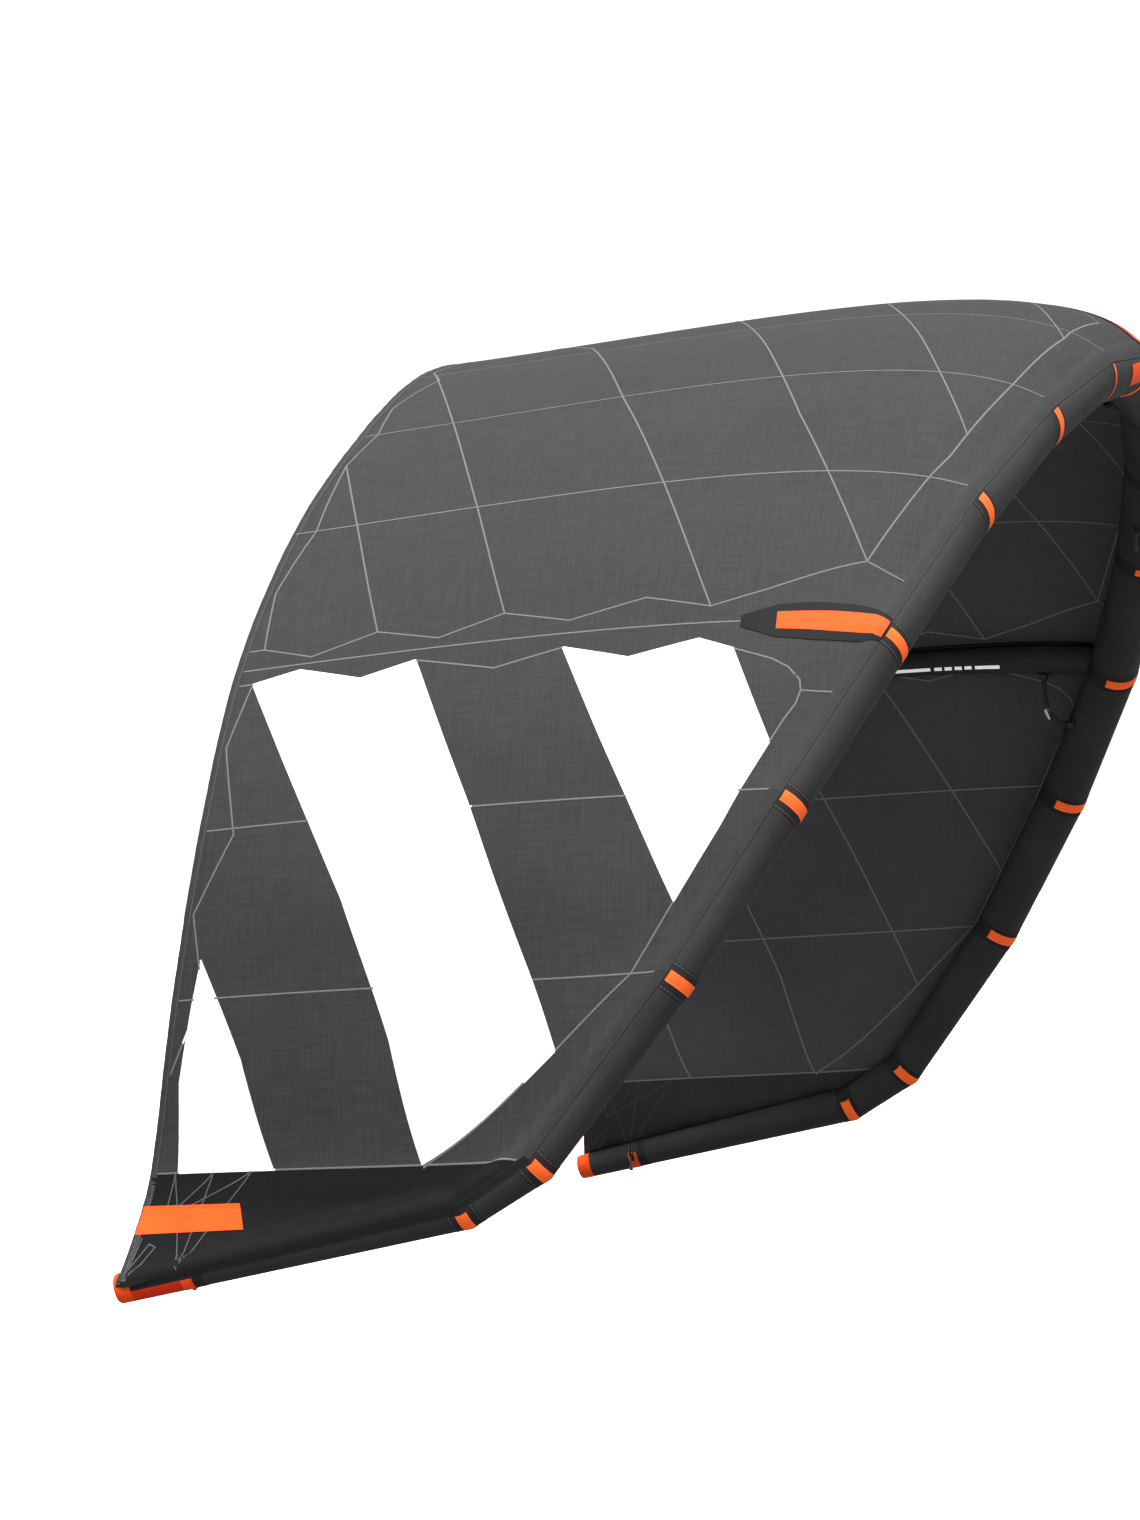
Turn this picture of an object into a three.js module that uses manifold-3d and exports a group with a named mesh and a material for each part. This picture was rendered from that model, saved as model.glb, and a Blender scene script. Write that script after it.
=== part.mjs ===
// A three-strut inflatable kitesurf kite of 9 square metres, in millimetres.
//
// Frame: +X forwards to the leading edge, +Y to the left wing, +Z up, the origin on the
// axis of the leading-edge tube at the middle of the kite.
//
// The leading edge is an arch of straight sleeve segments, mitred at stations. Station 0 is
// the middle of the kite, stations 1 to 9 run out to each tip, and the outer struts stand at
// station 4. The canopy is a sheet from the leading edge to the trailing edge.

import * as THREE from "three";
import Module from "manifold-3d";
import { mergeVertices } from "three/addons/utils/BufferGeometryUtils.js";

const wasm = await Module();
wasm.setup();

const rad = THREE.MathUtils.degToRad;
const mix = THREE.MathUtils.lerp;
const vec = (x, y, z) => new THREE.Vector3(x, y, z);
const LEFT = 1;
const RIGHT = -1;

// Each leading-edge segment from the middle outwards: its length, how far it is turned
// down from level in the front view (front) and how far it is swept back (sweep).
const SEGMENTS = [
  { length: 450, front: 7, sweep: 0.5 },
  { length: 425, front: 17.5, sweep: 7.5 },
  { length: 435, front: 28, sweep: 12 },
  { length: 440, front: 42, sweep: 17.5 },
  { length: 420, front: 56.5, sweep: 25 },
  { length: 425, front: 70, sweep: 30 },
  { length: 460, front: 79.5, sweep: 37 },
  { length: 175, front: 86.5, sweep: 59 },
  { length: 755, front: 92, sweep: 78.5 },
];

// Each station: the tube's radius, the chord from the tube's axis to the trailing edge, and
// the chord's twist in degrees, outwards positive.
const STATIONS = [
  { radius: 70, chord: 1550, twist: 3 },
  { radius: 68, chord: 1545, twist: 3 },
  { radius: 66, chord: 1515, twist: 2 },
  { radius: 64, chord: 1470, twist: 1 },
  { radius: 62, chord: 1385, twist: 0 },
  { radius: 60, chord: 1245, twist: -1.7 },
  { radius: 55, chord: 1080, twist: -4 },
  { radius: 48, chord: 855, twist: -7 },
  { radius: 45, chord: 715, twist: -6 },
  { radius: 31, chord: 32, twist: 90 },
];
const TIP = SEGMENTS.length;
const STRUT_STATION = 4;

// The canopy's section is a cubic curve. It leaves the tube at an angle forward of the
// tube's outermost line, and its two handles are shares of the chord. Each pair of values
// is for the middle of the kite and for SECTION_END, and runs evenly between.
const SECTION_END = 7;
const LEAVE_ANGLE = [57, -19];
const FRONT_HANDLE = [0.17, 0.23];
const REAR_HANDLE = [0.43, 0.39];
const REAR_SLOPE = rad(7);

const SEAM_GAP = 0.3;
const SLEEVE_WALL = 1.5;
const BLADDER_GAP = 0.6;
const BLADDER_WALL = 0.9;
const CANOPY_GAP = 1.2;
const TRIM_GAP = 0.9;
const CANOPY_THICK = 2.5;
const CANOPY_STEPS = 11;
const CANOPY_CROWDING = 1.3;
const CANOPY_TIP = 8.9;
const STRUT_SEAM = 0.001;
const TUBE_SIDES = 16;
const BLADDER_SIDES = 12;

const BAND_GAP = 1.3;
const BAND_THICK = 1;
const BAND_HALF = 11;
const BAND_END = 190;
const BAND_STEPS = 10;
const BAND_MARGIN = 6;
const TIP_COVER_LENGTH = 165;
const TIP_COVER_MARGIN = 10;

const STRUT_FRONT = [42, 37];
const STRUT_REAR = 22;
const STRUT_END = 0.93;
const STRUT_RINGS = 8;
const STRUT_START = 0.015;
const STRUT_GAP = 2.5;
const STRUT_NOSE = 0.6;
const BLADDER_FRONT_GAP = 3;
const HOSE_SHARE = 0.2;
const HOSE_BORE = 4;
const HOSE_RADIUS = 6;
const HOSE_LEAN = 0.55;
const HOSE_STAND = 2.2;
const HOSE_SLACK = 70;
const HOSE_PORT_ANGLE = 238;
const HOSE_STEPS = 10;
const BORE_OVERRUN = 2;
const HOSE_SIDES = 10;
const LEVER_LENGTH = 26;
const LEVER_WIDTH = 10;
const LEVER_THICK = 5;
const LEVER_TIP = 2;
const LEVER_RAMP = 8;
const LEVER_STAND = 0.8;
// Each hose: its strut's station, its wing, and where its port is along the segment.
const HOSES = {
  centre: { station: 0, side: LEFT, portShare: 0.3 },
  left: { station: STRUT_STATION, side: LEFT, portShare: 0.43 },
  right: { station: STRUT_STATION, side: RIGHT, portShare: 0.43 },
};

const BLADDER_END = 8;
const PORT_LENGTH = 60;
const VALVE_HOLE = 30;
const VALVE_SIDES = 20;
const VALVE_LIFT = 0.6;
const VALVE_FLANGE = 1.6;
const VALVE_CAP = 3;
const CAP_RIM = 1.5;
// Each valve: where it stands on the leading edge, and its radii and height.
const VALVES = {
  inflate: {
    segment: 0, share: 0.5, angle: 232, side: LEFT, flange: 30, neck: 13, bore: 9, height: 12,
  },
  deflate: {
    segment: 6, share: 0.55, angle: 205, side: RIGHT, flange: 24, neck: 10, bore: 6, height: 9,
  },
};

const PIGTAIL_STAND = 4;
const PIGTAIL_EYE = 6;
const PIGTAIL_RADIUS = 2.5;
const KNOT_RADIUS = 5.5;
const KNOT_HEIGHT = 11;
// Each pair of pigtails: where they hang from, and their length.
const PIGTAILS = {
  front: { segment: 2, share: 0.5, angle: 200, length: 45 },
  rear: { segment: 8, share: 0.8, angle: 185, length: 45 },
};

const COLOURS = {
  sleeve: 0x2c2c2e,
  canopy: 0x505153,
  strut: 0x19191b,
  bladder: 0xd9dcdd,
  band: 0xff7a33,
  tip_cover: 0xd8541f,
  hose: 0x17181a,
  lever: 0xe9e9e6,
  valve: 0x1c1c1e,
  valve_cap: 0x222325,
  pigtail: 0x202022,
};

const kite = new THREE.Group();

function addMesh(name, geometry, finish, at = vec(0, 0, 0)) {
  const material = new THREE.MeshStandardMaterial({
    color: COLOURS[finish],
    roughness: 0.75,
    metalness: 0,
  });
  const mesh = new THREE.Mesh(geometry, material);
  mesh.name = name;
  mesh.position.copy(at);
  kite.add(mesh);
  return mesh;
}

// ---------------------------------------------------------------- general solids

// A solid from closed rings of points, each joined to the next. An open run is closed by a
// fan at each end, and a looped run comes back to its first ring.
function loft(rings, looped = false) {
  const count = rings[0].length;
  const points = rings.flat();
  const faces = [];
  const last = looped ? rings.length : rings.length - 1;
  for (let k = 0; k < last; k++) {
    const a = k * count;
    const b = ((k + 1) % rings.length) * count;
    for (let j = 0; j < count; j++) {
      const next = (j + 1) % count;
      faces.push([a + j, a + next, b + next], [a + j, b + next, b + j]);
    }
  }
  if (!looped) {
    [rings[0], rings.at(-1)].forEach((ring, end) => {
      const start = end ? (rings.length - 1) * count : 0;
      const middle = ring.reduce((sum, p) => sum.add(p), vec(0, 0, 0)).divideScalar(count);
      points.push(middle);
      for (let j = 0; j < count; j++) {
        const pair = [start + j, start + ((j + 1) % count)];
        if (!end) pair.reverse();
        faces.push([pair[0], pair[1], points.length - 1]);
      }
    });
  }
  return faceOutwards(points, faces);
}

// A sheet from a grid of lower and upper points: rows of equal length.
function sheet(lower, upper) {
  const rings = lower.map((row, k) => [...row, ...upper[k].slice().reverse()]);
  const count = rings[0].length;
  const half = count / 2;
  const points = rings.flat();
  const faces = [];
  for (let k = 0; k + 1 < rings.length; k++) {
    const a = k * count;
    const b = a + count;
    for (let j = 0; j < count; j++) {
      const next = (j + 1) % count;
      faces.push([a + j, a + next, b + next], [a + j, b + next, b + j]);
    }
  }
  for (const end of [0, rings.length - 1]) {
    for (let j = 0; j + 1 < half; j++) {
      const low = end * count + j;
      const high = end * count + count - 1 - j;
      const quad = [low, high, high - 1, low + 1];
      if (end) quad.reverse();
      faces.push([quad[0], quad[1], quad[2]], [quad[0], quad[2], quad[3]]);
    }
  }
  return faceOutwards(points, faces);
}

function faceOutwards(points, faces) {
  const volume = faces.reduce((sum, [a, b, c]) => {
    const cross = points[b].clone().cross(points[c]);
    return sum + points[a].dot(cross);
  }, 0);
  if (volume < 0) faces.forEach((face) => face.reverse());
  const geometry = new THREE.BufferGeometry();
  geometry.setFromPoints(points);
  geometry.setIndex(faces.flat());
  geometry.computeVertexNormals();
  return geometry;
}

function toSolid(geometry) {
  const plain = geometry.clone();
  plain.deleteAttribute("normal");
  plain.deleteAttribute("uv");
  const merged = mergeVertices(plain, 1e-4);
  return new wasm.Manifold(
    new wasm.Mesh({
      numProp: 3,
      vertProperties: new Float32Array(merged.attributes.position.array),
      triVerts: new Uint32Array(merged.index.array),
    }),
  );
}

function toGeometry(solid) {
  const mesh = solid.getMesh();
  const geometry = new THREE.BufferGeometry();
  geometry.setAttribute("position", new THREE.BufferAttribute(mesh.vertProperties, 3));
  geometry.setIndex(new THREE.BufferAttribute(mesh.triVerts, 1));
  geometry.computeVertexNormals();
  return geometry;
}

function largest(solid) {
  const bodies = solid.decompose();
  return bodies.reduce((best, body) => (body.volume() > best.volume() ? body : best));
}

function circle(centre, across, up, radius, sides) {
  return Array.from({ length: sides }, (_, j) => {
    const angle = (2 * Math.PI * j) / sides;
    return centre
      .clone()
      .addScaledVector(across, radius * Math.cos(angle))
      .addScaledVector(up, radius * Math.sin(angle));
  });
}

// A round tube or bar along a curve, of constant radius.
function bar(curve, radius, steps, sides) {
  const spare = vec(0.3, 0.2, 1);
  const rings = [];
  for (let k = 0; k <= steps; k++) {
    const along = curve.getTangent(k / steps);
    const across = spare.clone().cross(along).normalize();
    const up = along.clone().cross(across);
    rings.push(circle(curve.getPoint(k / steps), across, up, radius, sides));
  }
  return loft(rings);
}

// ---------------------------------------------------------------- the arch of the kite

// The right wing mirrors the left, so the left wing is worked out and side flips Y.
const flip = (point, side) => vec(point.x, point.y * side, point.z);

const segmentFrames = SEGMENTS.map(({ front, sweep }) => {
  const a = rad(front);
  const s = rad(sweep);
  return {
    along: vec(-Math.sin(s), Math.cos(s) * Math.cos(a), -Math.cos(s) * Math.sin(a)),
    outward: vec(0, Math.sin(a), Math.cos(a)),
    forward: vec(Math.cos(s), Math.sin(s) * Math.cos(a), -Math.sin(s) * Math.sin(a)),
  };
});

const axisPoints = [vec(0, 0, 0)];
SEGMENTS.forEach(({ length }, k) => {
  axisPoints.push(axisPoints[k].clone().addScaledVector(segmentFrames[k].along, length));
});

// The plane that a station's mitre lies in: square to the mean of its two segments.
const mitres = axisPoints.map((_, k) => {
  if (k === 0) return vec(0, 1, 0);
  const inner = segmentFrames[k - 1].along;
  return k === TIP ? inner.clone() : inner.clone().add(segmentFrames[k].along).normalize();
});

const stationAngle = (k) => {
  if (k === 0) return 0;
  if (k === TIP) return SEGMENTS[TIP - 1].front;
  return (SEGMENTS[k - 1].front + SEGMENTS[k].front) / 2;
};

// A point on a segment's skin where it meets the mitre at one of its ends. The angle is in
// degrees from the outermost line, forwards positive.
function skinPoint(segment, station, radius, angle, inset) {
  const { along, outward, forward } = segmentFrames[segment];
  const reach = outward
    .clone()
    .multiplyScalar(Math.cos(rad(angle)))
    .addScaledVector(forward, Math.sin(rad(angle)))
    .multiplyScalar(radius);
  const mitre = mitres[station];
  const slide = (inset - reach.dot(mitre)) / along.dot(mitre);
  return axisPoints[station].clone().add(reach).addScaledVector(along, slide);
}

function sleeveRing(segment, station, shrink, side, sides) {
  const inset = station === segment ? SEAM_GAP / 2 : -SEAM_GAP / 2;
  const radius = STATIONS[station].radius - shrink;
  return Array.from({ length: sides }, (_, j) =>
    flip(skinPoint(segment, station, radius, (360 * j) / sides, inset), side),
  );
}

// Values between stations, at any place u from 0 to TIP.
function between(u, pick) {
  const k = Math.min(Math.floor(u), TIP - 1);
  return mix(pick(k), pick(k + 1), u - k);
}

function axisAt(u) {
  const k = Math.min(Math.floor(u), TIP - 1);
  return axisPoints[k].clone().lerp(axisPoints[k + 1], u - k);
}

function outwardAt(u) {
  const a = rad(between(u, stationAngle));
  return vec(0, Math.sin(a), Math.cos(a));
}

const radiusAt = (u) => between(u, (k) => STATIONS[k].radius);
const sectionValue = ([middle, outer], u) => mix(middle, outer, Math.min(u / SECTION_END, 1));
const leaveAngle = (u) => sectionValue(LEAVE_ANGLE, u);

function chordDirection(u, twist) {
  return vec(-Math.cos(twist), 0, 0).addScaledVector(outwardAt(u), Math.sin(twist));
}

// The trailing edge: one smooth curve through the end of every station's chord.
const trailingPoints = STATIONS.map(({ chord, twist }, k) =>
  axisPoints[k].clone().addScaledVector(chordDirection(k, rad(twist)), chord),
);
const trailingCurve = new THREE.CatmullRomCurve3([
  ...trailingPoints.slice(1).reverse().map((p) => flip(p, RIGHT)),
  ...trailingPoints,
]);
const trailingAt = (u) => trailingCurve.getPoint(0.5 + u / (2 * TIP));

// Pushes a point out of the leading-edge tube, so that the cloth wraps over it.
function clearOfTube(point, gap) {
  for (let k = 0; k < TIP; k++) {
    const line = new THREE.Line3(axisPoints[k], axisPoints[k + 1]);
    const share = line.closestPointToPointParameter(point, true);
    const foot = line.at(share, vec(0, 0, 0));
    const least = mix(STATIONS[k].radius, STATIONS[k + 1].radius, share) + gap;
    const away = point.clone().sub(foot);
    if (away.length() < least) point.copy(foot).addScaledVector(away.normalize(), least);
  }
  return point;
}

// The canopy's inner face, at place u along the leading edge and share v of the chord.
function canopyPoint(u, v) {
  const outward = outwardAt(u);
  const end = trailingAt(u);
  const start = axisAt(u);
  const chord = start.distanceTo(end);
  const back = end.clone().sub(start).normalize();
  const leave = rad(leaveAngle(u));
  start.addScaledVector(outward, radiusAt(u) * Math.cos(leave));
  start.addScaledVector(back, -radiusAt(u) * Math.sin(leave));
  const front = start
    .clone()
    .addScaledVector(back, sectionValue(FRONT_HANDLE, u) * chord * Math.cos(leave))
    .addScaledVector(outward, sectionValue(FRONT_HANDLE, u) * chord * Math.sin(leave));
  const rear = end
    .clone()
    .addScaledVector(back, -sectionValue(REAR_HANDLE, u) * chord * Math.cos(REAR_SLOPE))
    .addScaledVector(outward, sectionValue(REAR_HANDLE, u) * chord * Math.sin(REAR_SLOPE));
  const point = new THREE.CubicBezierCurve3(start, front, rear, end).getPoint(v);
  return clearOfTube(point, CANOPY_GAP);
}

function canopyNormal(u, v) {
  const step = 0.02;
  const u0 = Math.max(u - step, 0);
  const u1 = Math.min(u + step, TIP - 0.02);
  const v0 = Math.max(v - step, 0);
  const v1 = Math.min(v + step, 1);
  const alongWing = canopyPoint(u1, v).sub(canopyPoint(u0, v));
  const alongChord = canopyPoint(u, v1).sub(canopyPoint(u, v0));
  const normal = alongChord.cross(alongWing).negate();
  if (u === 0) normal.y = 0;
  return normal.normalize();
}

// ---------------------------------------------------------------- leading edge

const sideName = (side) => (side === LEFT ? "left" : "right");

function addSleeves(side) {
  for (let k = 0; k < TIP; k++) {
    const rings = [
      sleeveRing(k, k, 0, side, TUBE_SIDES),
      sleeveRing(k, k + 1, 0, side, TUBE_SIDES),
      sleeveRing(k, k + 1, SLEEVE_WALL, side, TUBE_SIDES),
      sleeveRing(k, k, SLEEVE_WALL, side, TUBE_SIDES),
    ];
    addMesh(`le_sleeve_${sideName(side)}_${k + 1}`, loft(rings, true), "sleeve");
  }
}

// A ring of the whole arch at a station, in its mitre.
function archRing(station, grow, side, inset = 0) {
  const radius = STATIONS[station].radius + grow;
  const segments = [Math.max(station - 1, 0), Math.min(station, TIP - 1)];
  return Array.from({ length: TUBE_SIDES }, (_, j) => {
    const angle = (360 * j) / TUBE_SIDES;
    const [a, b] = segments.map((s) => skinPoint(s, station, radius, angle, inset));
    return flip(a.lerp(b, 0.5), side);
  });
}

function archSolid(grow, inset = 0) {
  const out = [];
  for (let k = TIP; k > 0; k--) out.push(archRing(k, grow, RIGHT, k === TIP ? -inset : 0));
  for (let k = 0; k <= TIP; k++) out.push(archRing(k, grow, LEFT, k === TIP ? -inset : 0));
  return loft(out);
}

// The bright tape over a mitre, from the canopy's front edge round to the inner side.
function addBand(station, side) {
  const from = Math.max(leaveAngle(station), 0) + BAND_MARGIN;
  const reach = (radius) => {
    const rows = [-BAND_HALF, 0, BAND_HALF].map((inset) =>
      Array.from({ length: BAND_STEPS + 1 }, (_, j) => {
        const angle = mix(from, BAND_END, j / BAND_STEPS);
        const inner = station === 0 ? 0 : station - 1;
        if (inset < 0) {
          const mirror = station === 0 ? RIGHT : LEFT;
          const place = station === 0 ? BAND_HALF : inset;
          return flip(skinPoint(inner, station, radius, angle, place), mirror * side);
        }
        const [a, b] = [station && !inset ? inner : station, station].map((s) =>
          skinPoint(s, station, radius, angle, inset),
        );
        return flip(a.lerp(b, 0.5), side);
      }),
    );
    return rows;
  };
  const radius = STATIONS[station].radius + BAND_GAP;
  const name = station === 0 ? "seam_band_centre" : `seam_band_${sideName(side)}_${station}`;
  addMesh(name, sheet(reach(radius), reach(radius + BAND_THICK)), "band");
}

// The tough cover over the last stretch of the tip tube.
function addTipCover(side) {
  const last = TIP - 1;
  const rowsAt = (grow) =>
    [0, 0.5, 1].map((share) => {
      const inset = -TIP_COVER_LENGTH * share;
      const along = 1 + inset / SEGMENTS[last].length;
      const radius = mix(STATIONS[last].radius, STATIONS[TIP].radius, along) + grow;
      return Array.from({ length: BAND_STEPS + 1 }, (_, j) => {
        const angle = mix(TIP_COVER_MARGIN, BAND_END, j / BAND_STEPS);
        return flip(skinPoint(last, TIP, radius, angle, inset), side);
      });
    });
  const geometry = sheet(rowsAt(BAND_GAP), rowsAt(BAND_GAP + BAND_THICK));
  addMesh(`tip_cover_${sideName(side)}`, geometry, "tip_cover");
}

// ---------------------------------------------------------------- canopy

function addCanopy(name, places) {
  const shares = Array.from({ length: CANOPY_STEPS }, (_, j) =>
    Math.pow(j / (CANOPY_STEPS - 1), CANOPY_CROWDING),
  );
  const rows = (rise) =>
    places.map((place) => {
      const side = place < 0 ? RIGHT : LEFT;
      const u = Math.abs(place);
      return shares.map((v) => {
        const point = canopyPoint(u, v).addScaledVector(canopyNormal(u, v), rise);
        return flip(point, side);
      });
    });
  const cloth = toSolid(sheet(rows(0), rows(CANOPY_THICK)));
  const trimmed = cloth.subtract(toSolid(archSolid(TRIM_GAP)));
  addMesh(name, toGeometry(largest(trimmed)), "canopy");
}

const inner = [0, 0.5, 1, 1.5, 2, 2.5, 3, 3.5, STRUT_STATION - STRUT_SEAM];
const outer = [STRUT_STATION + STRUT_SEAM, 4.5, 5, 5.5, 6, 6.5, 7, 7.5, 8, 8.3, 8.6, CANOPY_TIP];
const mirrored = (places) => places.filter((u) => u > 0).map((u) => -u);
addCanopy("canopy_centre", [...mirrored(inner).reverse(), ...inner]);
addCanopy("canopy_left", outer);
addCanopy("canopy_right", mirrored(outer).reverse());

[LEFT, RIGHT].forEach((side) => {
  addSleeves(side);
  for (let station = 2; station < TIP; station++) addBand(station, side);
  addTipCover(side);
});
addBand(0, LEFT);

// ---------------------------------------------------------------- struts

// The strut's axis hangs under the canopy by its own radius.
function strutRadius(station, v, shrink) {
  const front = station === 0 ? STRUT_FRONT[0] : STRUT_FRONT[1];
  return mix(front, STRUT_REAR, v) - shrink;
}

function strutAxis(station, v) {
  const drop = -(strutRadius(station, v, 0) + STRUT_GAP);
  return canopyPoint(station, v).addScaledVector(canopyNormal(station, v), drop);
}

function strutFrame(station, v) {
  const step = 0.01;
  const along = strutAxis(station, v + step).sub(strutAxis(station, v - step)).normalize();
  const up = canopyNormal(station, v);
  const across = along.clone().cross(up).normalize();
  return { along, across, up: across.clone().cross(along).normalize() };
}

function strutLoft(station, side, shrink) {
  const rings = [];
  const end = STRUT_END - shrink / 1000;
  for (let k = 0; k <= STRUT_RINGS; k++) {
    const v = mix(STRUT_START, end, k / STRUT_RINGS);
    const { across, up } = strutFrame(station, v);
    const centre = strutAxis(station, v);
    rings.push(circle(centre, across, up, strutRadius(station, v, shrink), BLADDER_SIDES));
  }
  const { along, across, up } = strutFrame(station, end);
  const nose = strutRadius(station, end, shrink);
  const tail = strutAxis(station, end).addScaledVector(along, nose * STRUT_NOSE);
  rings.push(circle(tail, across, up, nose * STRUT_NOSE, BLADDER_SIDES));
  return toSolid(loft(rings.map((ring) => ring.map((p) => flip(p, side)))));
}

// The way a hose leaves its strut: towards the wing tip and a little down.
function hoseLeave(station) {
  const { across, up } = strutFrame(station, HOSE_SHARE);
  return across.multiplyScalar(HOSE_LEAN).addScaledVector(up, HOSE_LEAN - 1).normalize();
}

function addStrut(place, station, side) {
  const skinShrink = SLEEVE_WALL + BLADDER_GAP;
  const tube = toSolid(archSolid(TRIM_GAP));
  const wider = toSolid(archSolid(BLADDER_FRONT_GAP));
  const sleeve = strutLoft(station, side, 0)
    .subtract(strutLoft(station, side, SLEEVE_WALL))
    .subtract(tube);
  addMesh(`strut_sleeve_${place}`, toGeometry(largest(sleeve)), "strut");
  const solid = largest(strutLoft(station, side, skinShrink).subtract(wider));
  const hollow = strutLoft(station, side, skinShrink + BLADDER_WALL);
  const further = toSolid(archSolid(BLADDER_FRONT_GAP + BLADDER_WALL));
  const centre = flip(strutAxis(station, HOSE_SHARE), side);
  const outside = centre.clone().addScaledVector(flip(hoseLeave(station), side), PORT_LENGTH);
  const port = new THREE.LineCurve3(centre, outside);
  const bladder = solid
    .subtract(largest(hollow.subtract(further)))
    .subtract(toSolid(bar(port, HOSE_BORE, 1, BLADDER_SIDES)));
  addMesh(`strut_bladder_${place}`, toGeometry(largest(bladder)), "bladder");
}

addStrut("centre", 0, LEFT);
addStrut("left", STRUT_STATION, LEFT);
addStrut("right", STRUT_STATION, RIGHT);

// ---------------------------------------------------------------- leading-edge bladder

function addBladder() {
  const skin = -(SLEEVE_WALL + BLADDER_GAP);
  const solid = toSolid(archSolid(skin, BLADDER_END));
  const hollow = toSolid(archSolid(skin - BLADDER_WALL, BLADDER_END + BLADDER_WALL));
  const { segment, share, angle, side, bore } = VALVES.inflate;
  const { place, axis } = onTube(segment, share, angle, side);
  const line = new THREE.LineCurve3(place.clone().addScaledVector(axis, -VALVE_HOLE), place);
  const hole = toSolid(bar(line, bore, 1, BLADDER_SIDES));
  const bladder = solid.subtract(hollow).subtract(hole);
  addMesh("le_bladder", toGeometry(largest(bladder)), "bladder");
}

// A place on a segment's skin and the direction straight out of it there.
function onTube(segment, share, angle, side, lift = 0) {
  const { outward, forward } = segmentFrames[segment];
  const axis = outward
    .clone()
    .multiplyScalar(Math.cos(rad(angle)))
    .addScaledVector(forward, Math.sin(rad(angle)));
  const radius = mix(STATIONS[segment].radius, STATIONS[segment + 1].radius, share);
  const place = axisPoints[segment].clone().lerp(axisPoints[segment + 1], share);
  place.addScaledVector(axis, radius + lift);
  return { place: flip(place, side), axis: flip(axis, side) };
}

addBladder();

// ---------------------------------------------------------------- valves

// A turned piece standing on its Y axis, from pairs of radius and height.
function turned(name, outline, finish, place, axis) {
  const points = [...outline, outline[0]].map(([radius, height]) => vec(radius, height, 0));
  const geometry = new THREE.LatheGeometry(points, VALVE_SIDES);
  if (toSolid(geometry).volume() < 0) geometry.index.array.reverse();
  const mesh = addMesh(name, geometry, finish, place);
  mesh.quaternion.setFromUnitVectors(vec(0, 1, 0), axis);
}

function addValve(name, { segment, share, angle, side, flange, neck, bore, height }) {
  const { place, axis } = onTube(segment, share, angle, side, VALVE_LIFT);
  const body = [
    [bore, 0],
    [flange, 0],
    [flange, VALVE_FLANGE],
    [neck, VALVE_FLANGE + 1],
    [neck, height],
    [bore, height],
  ];
  turned(`${name}_valve`, body, "valve", place, axis);
  const cap = [
    [0, 0],
    [neck - 1, 0],
    [neck + CAP_RIM, 1],
    [neck + CAP_RIM, VALVE_CAP],
    [neck - 1, VALVE_CAP + CAP_RIM],
    [0, VALVE_CAP + CAP_RIM],
  ];
  const top = place.clone().addScaledVector(axis, height + SEAM_GAP);
  turned(`${name}_valve_cap`, cap, "valve_cap", top, axis);
}

Object.entries(VALVES).forEach(([name, valve]) => addValve(name, valve));

// ---------------------------------------------------------------- one-pump hoses

// A hose runs from the side of a strut down to a port in the leading edge next to it.
function addHose(place, { station, side, portShare }) {
  const leave = hoseLeave(station);
  const stand = strutRadius(station, HOSE_SHARE, 0) + HOSE_STAND;
  const start = strutAxis(station, HOSE_SHARE).addScaledVector(leave, stand);
  const port = onTube(station, portShare, HOSE_PORT_ANGLE, LEFT, HOSE_STAND);
  const curve = new THREE.CubicBezierCurve3(
    start,
    start.clone().addScaledVector(leave, HOSE_SLACK),
    port.place.clone().addScaledVector(port.axis, HOSE_SLACK),
    port.place,
  );
  const points = curve.getPoints(HOSE_STEPS).map((p) => flip(p, side));
  const run = new THREE.CatmullRomCurve3(points);
  const wall = toSolid(bar(run, HOSE_RADIUS, HOSE_STEPS, HOSE_SIDES));
  const before = start.clone().addScaledVector(leave, -BORE_OVERRUN);
  const after = port.place.clone().addScaledVector(port.axis, -BORE_OVERRUN);
  const longer = new THREE.CatmullRomCurve3([flip(before, side), ...points, flip(after, side)]);
  const bore = toSolid(bar(longer, HOSE_BORE, HOSE_STEPS + 2, HOSE_SIDES));
  addMesh(`hose_${place}`, toGeometry(largest(wall.subtract(bore))), "hose");
  const middle = run.getPoint(0.5);
  const bend = run.getPoint(0.4).add(run.getPoint(0.6)).addScaledVector(middle, -2);
  addLever(place, middle, run.getTangent(0.5), bend);
}

// The clip's lever lies along the outside of the hose's bend, and turns up about a pin
// across it.
function addLever(place, middle, along, bend) {
  const away = bend.clone().addScaledVector(along, -bend.dot(along)).negate().normalize();
  const across = along.clone().cross(away);
  const half = LEVER_THICK / 2;
  const outline = new THREE.Shape();
  outline.moveTo(0, 0);
  outline.lineTo(LEVER_LENGTH, 0);
  outline.lineTo(LEVER_LENGTH, LEVER_TIP);
  outline.lineTo(LEVER_RAMP, LEVER_THICK);
  outline.absarc(0, half, half, Math.PI / 2, (3 * Math.PI) / 2, false);
  const geometry = new THREE.ExtrudeGeometry(outline, {
    depth: LEVER_WIDTH,
    bevelEnabled: false,
    curveSegments: 6,
  });
  const mesh = addMesh(`hose_clip_${place}`, geometry, "lever");
  mesh.quaternion.setFromRotationMatrix(new THREE.Matrix4().makeBasis(along, away, across));
  mesh.position.copy(middle).addScaledVector(away, HOSE_RADIUS + LEVER_STAND);
  mesh.position.addScaledVector(across, -LEVER_WIDTH / 2);
}

Object.entries(HOSES).forEach(([place, hose]) => addHose(place, hose));

// ---------------------------------------------------------------- line pigtails

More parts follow.
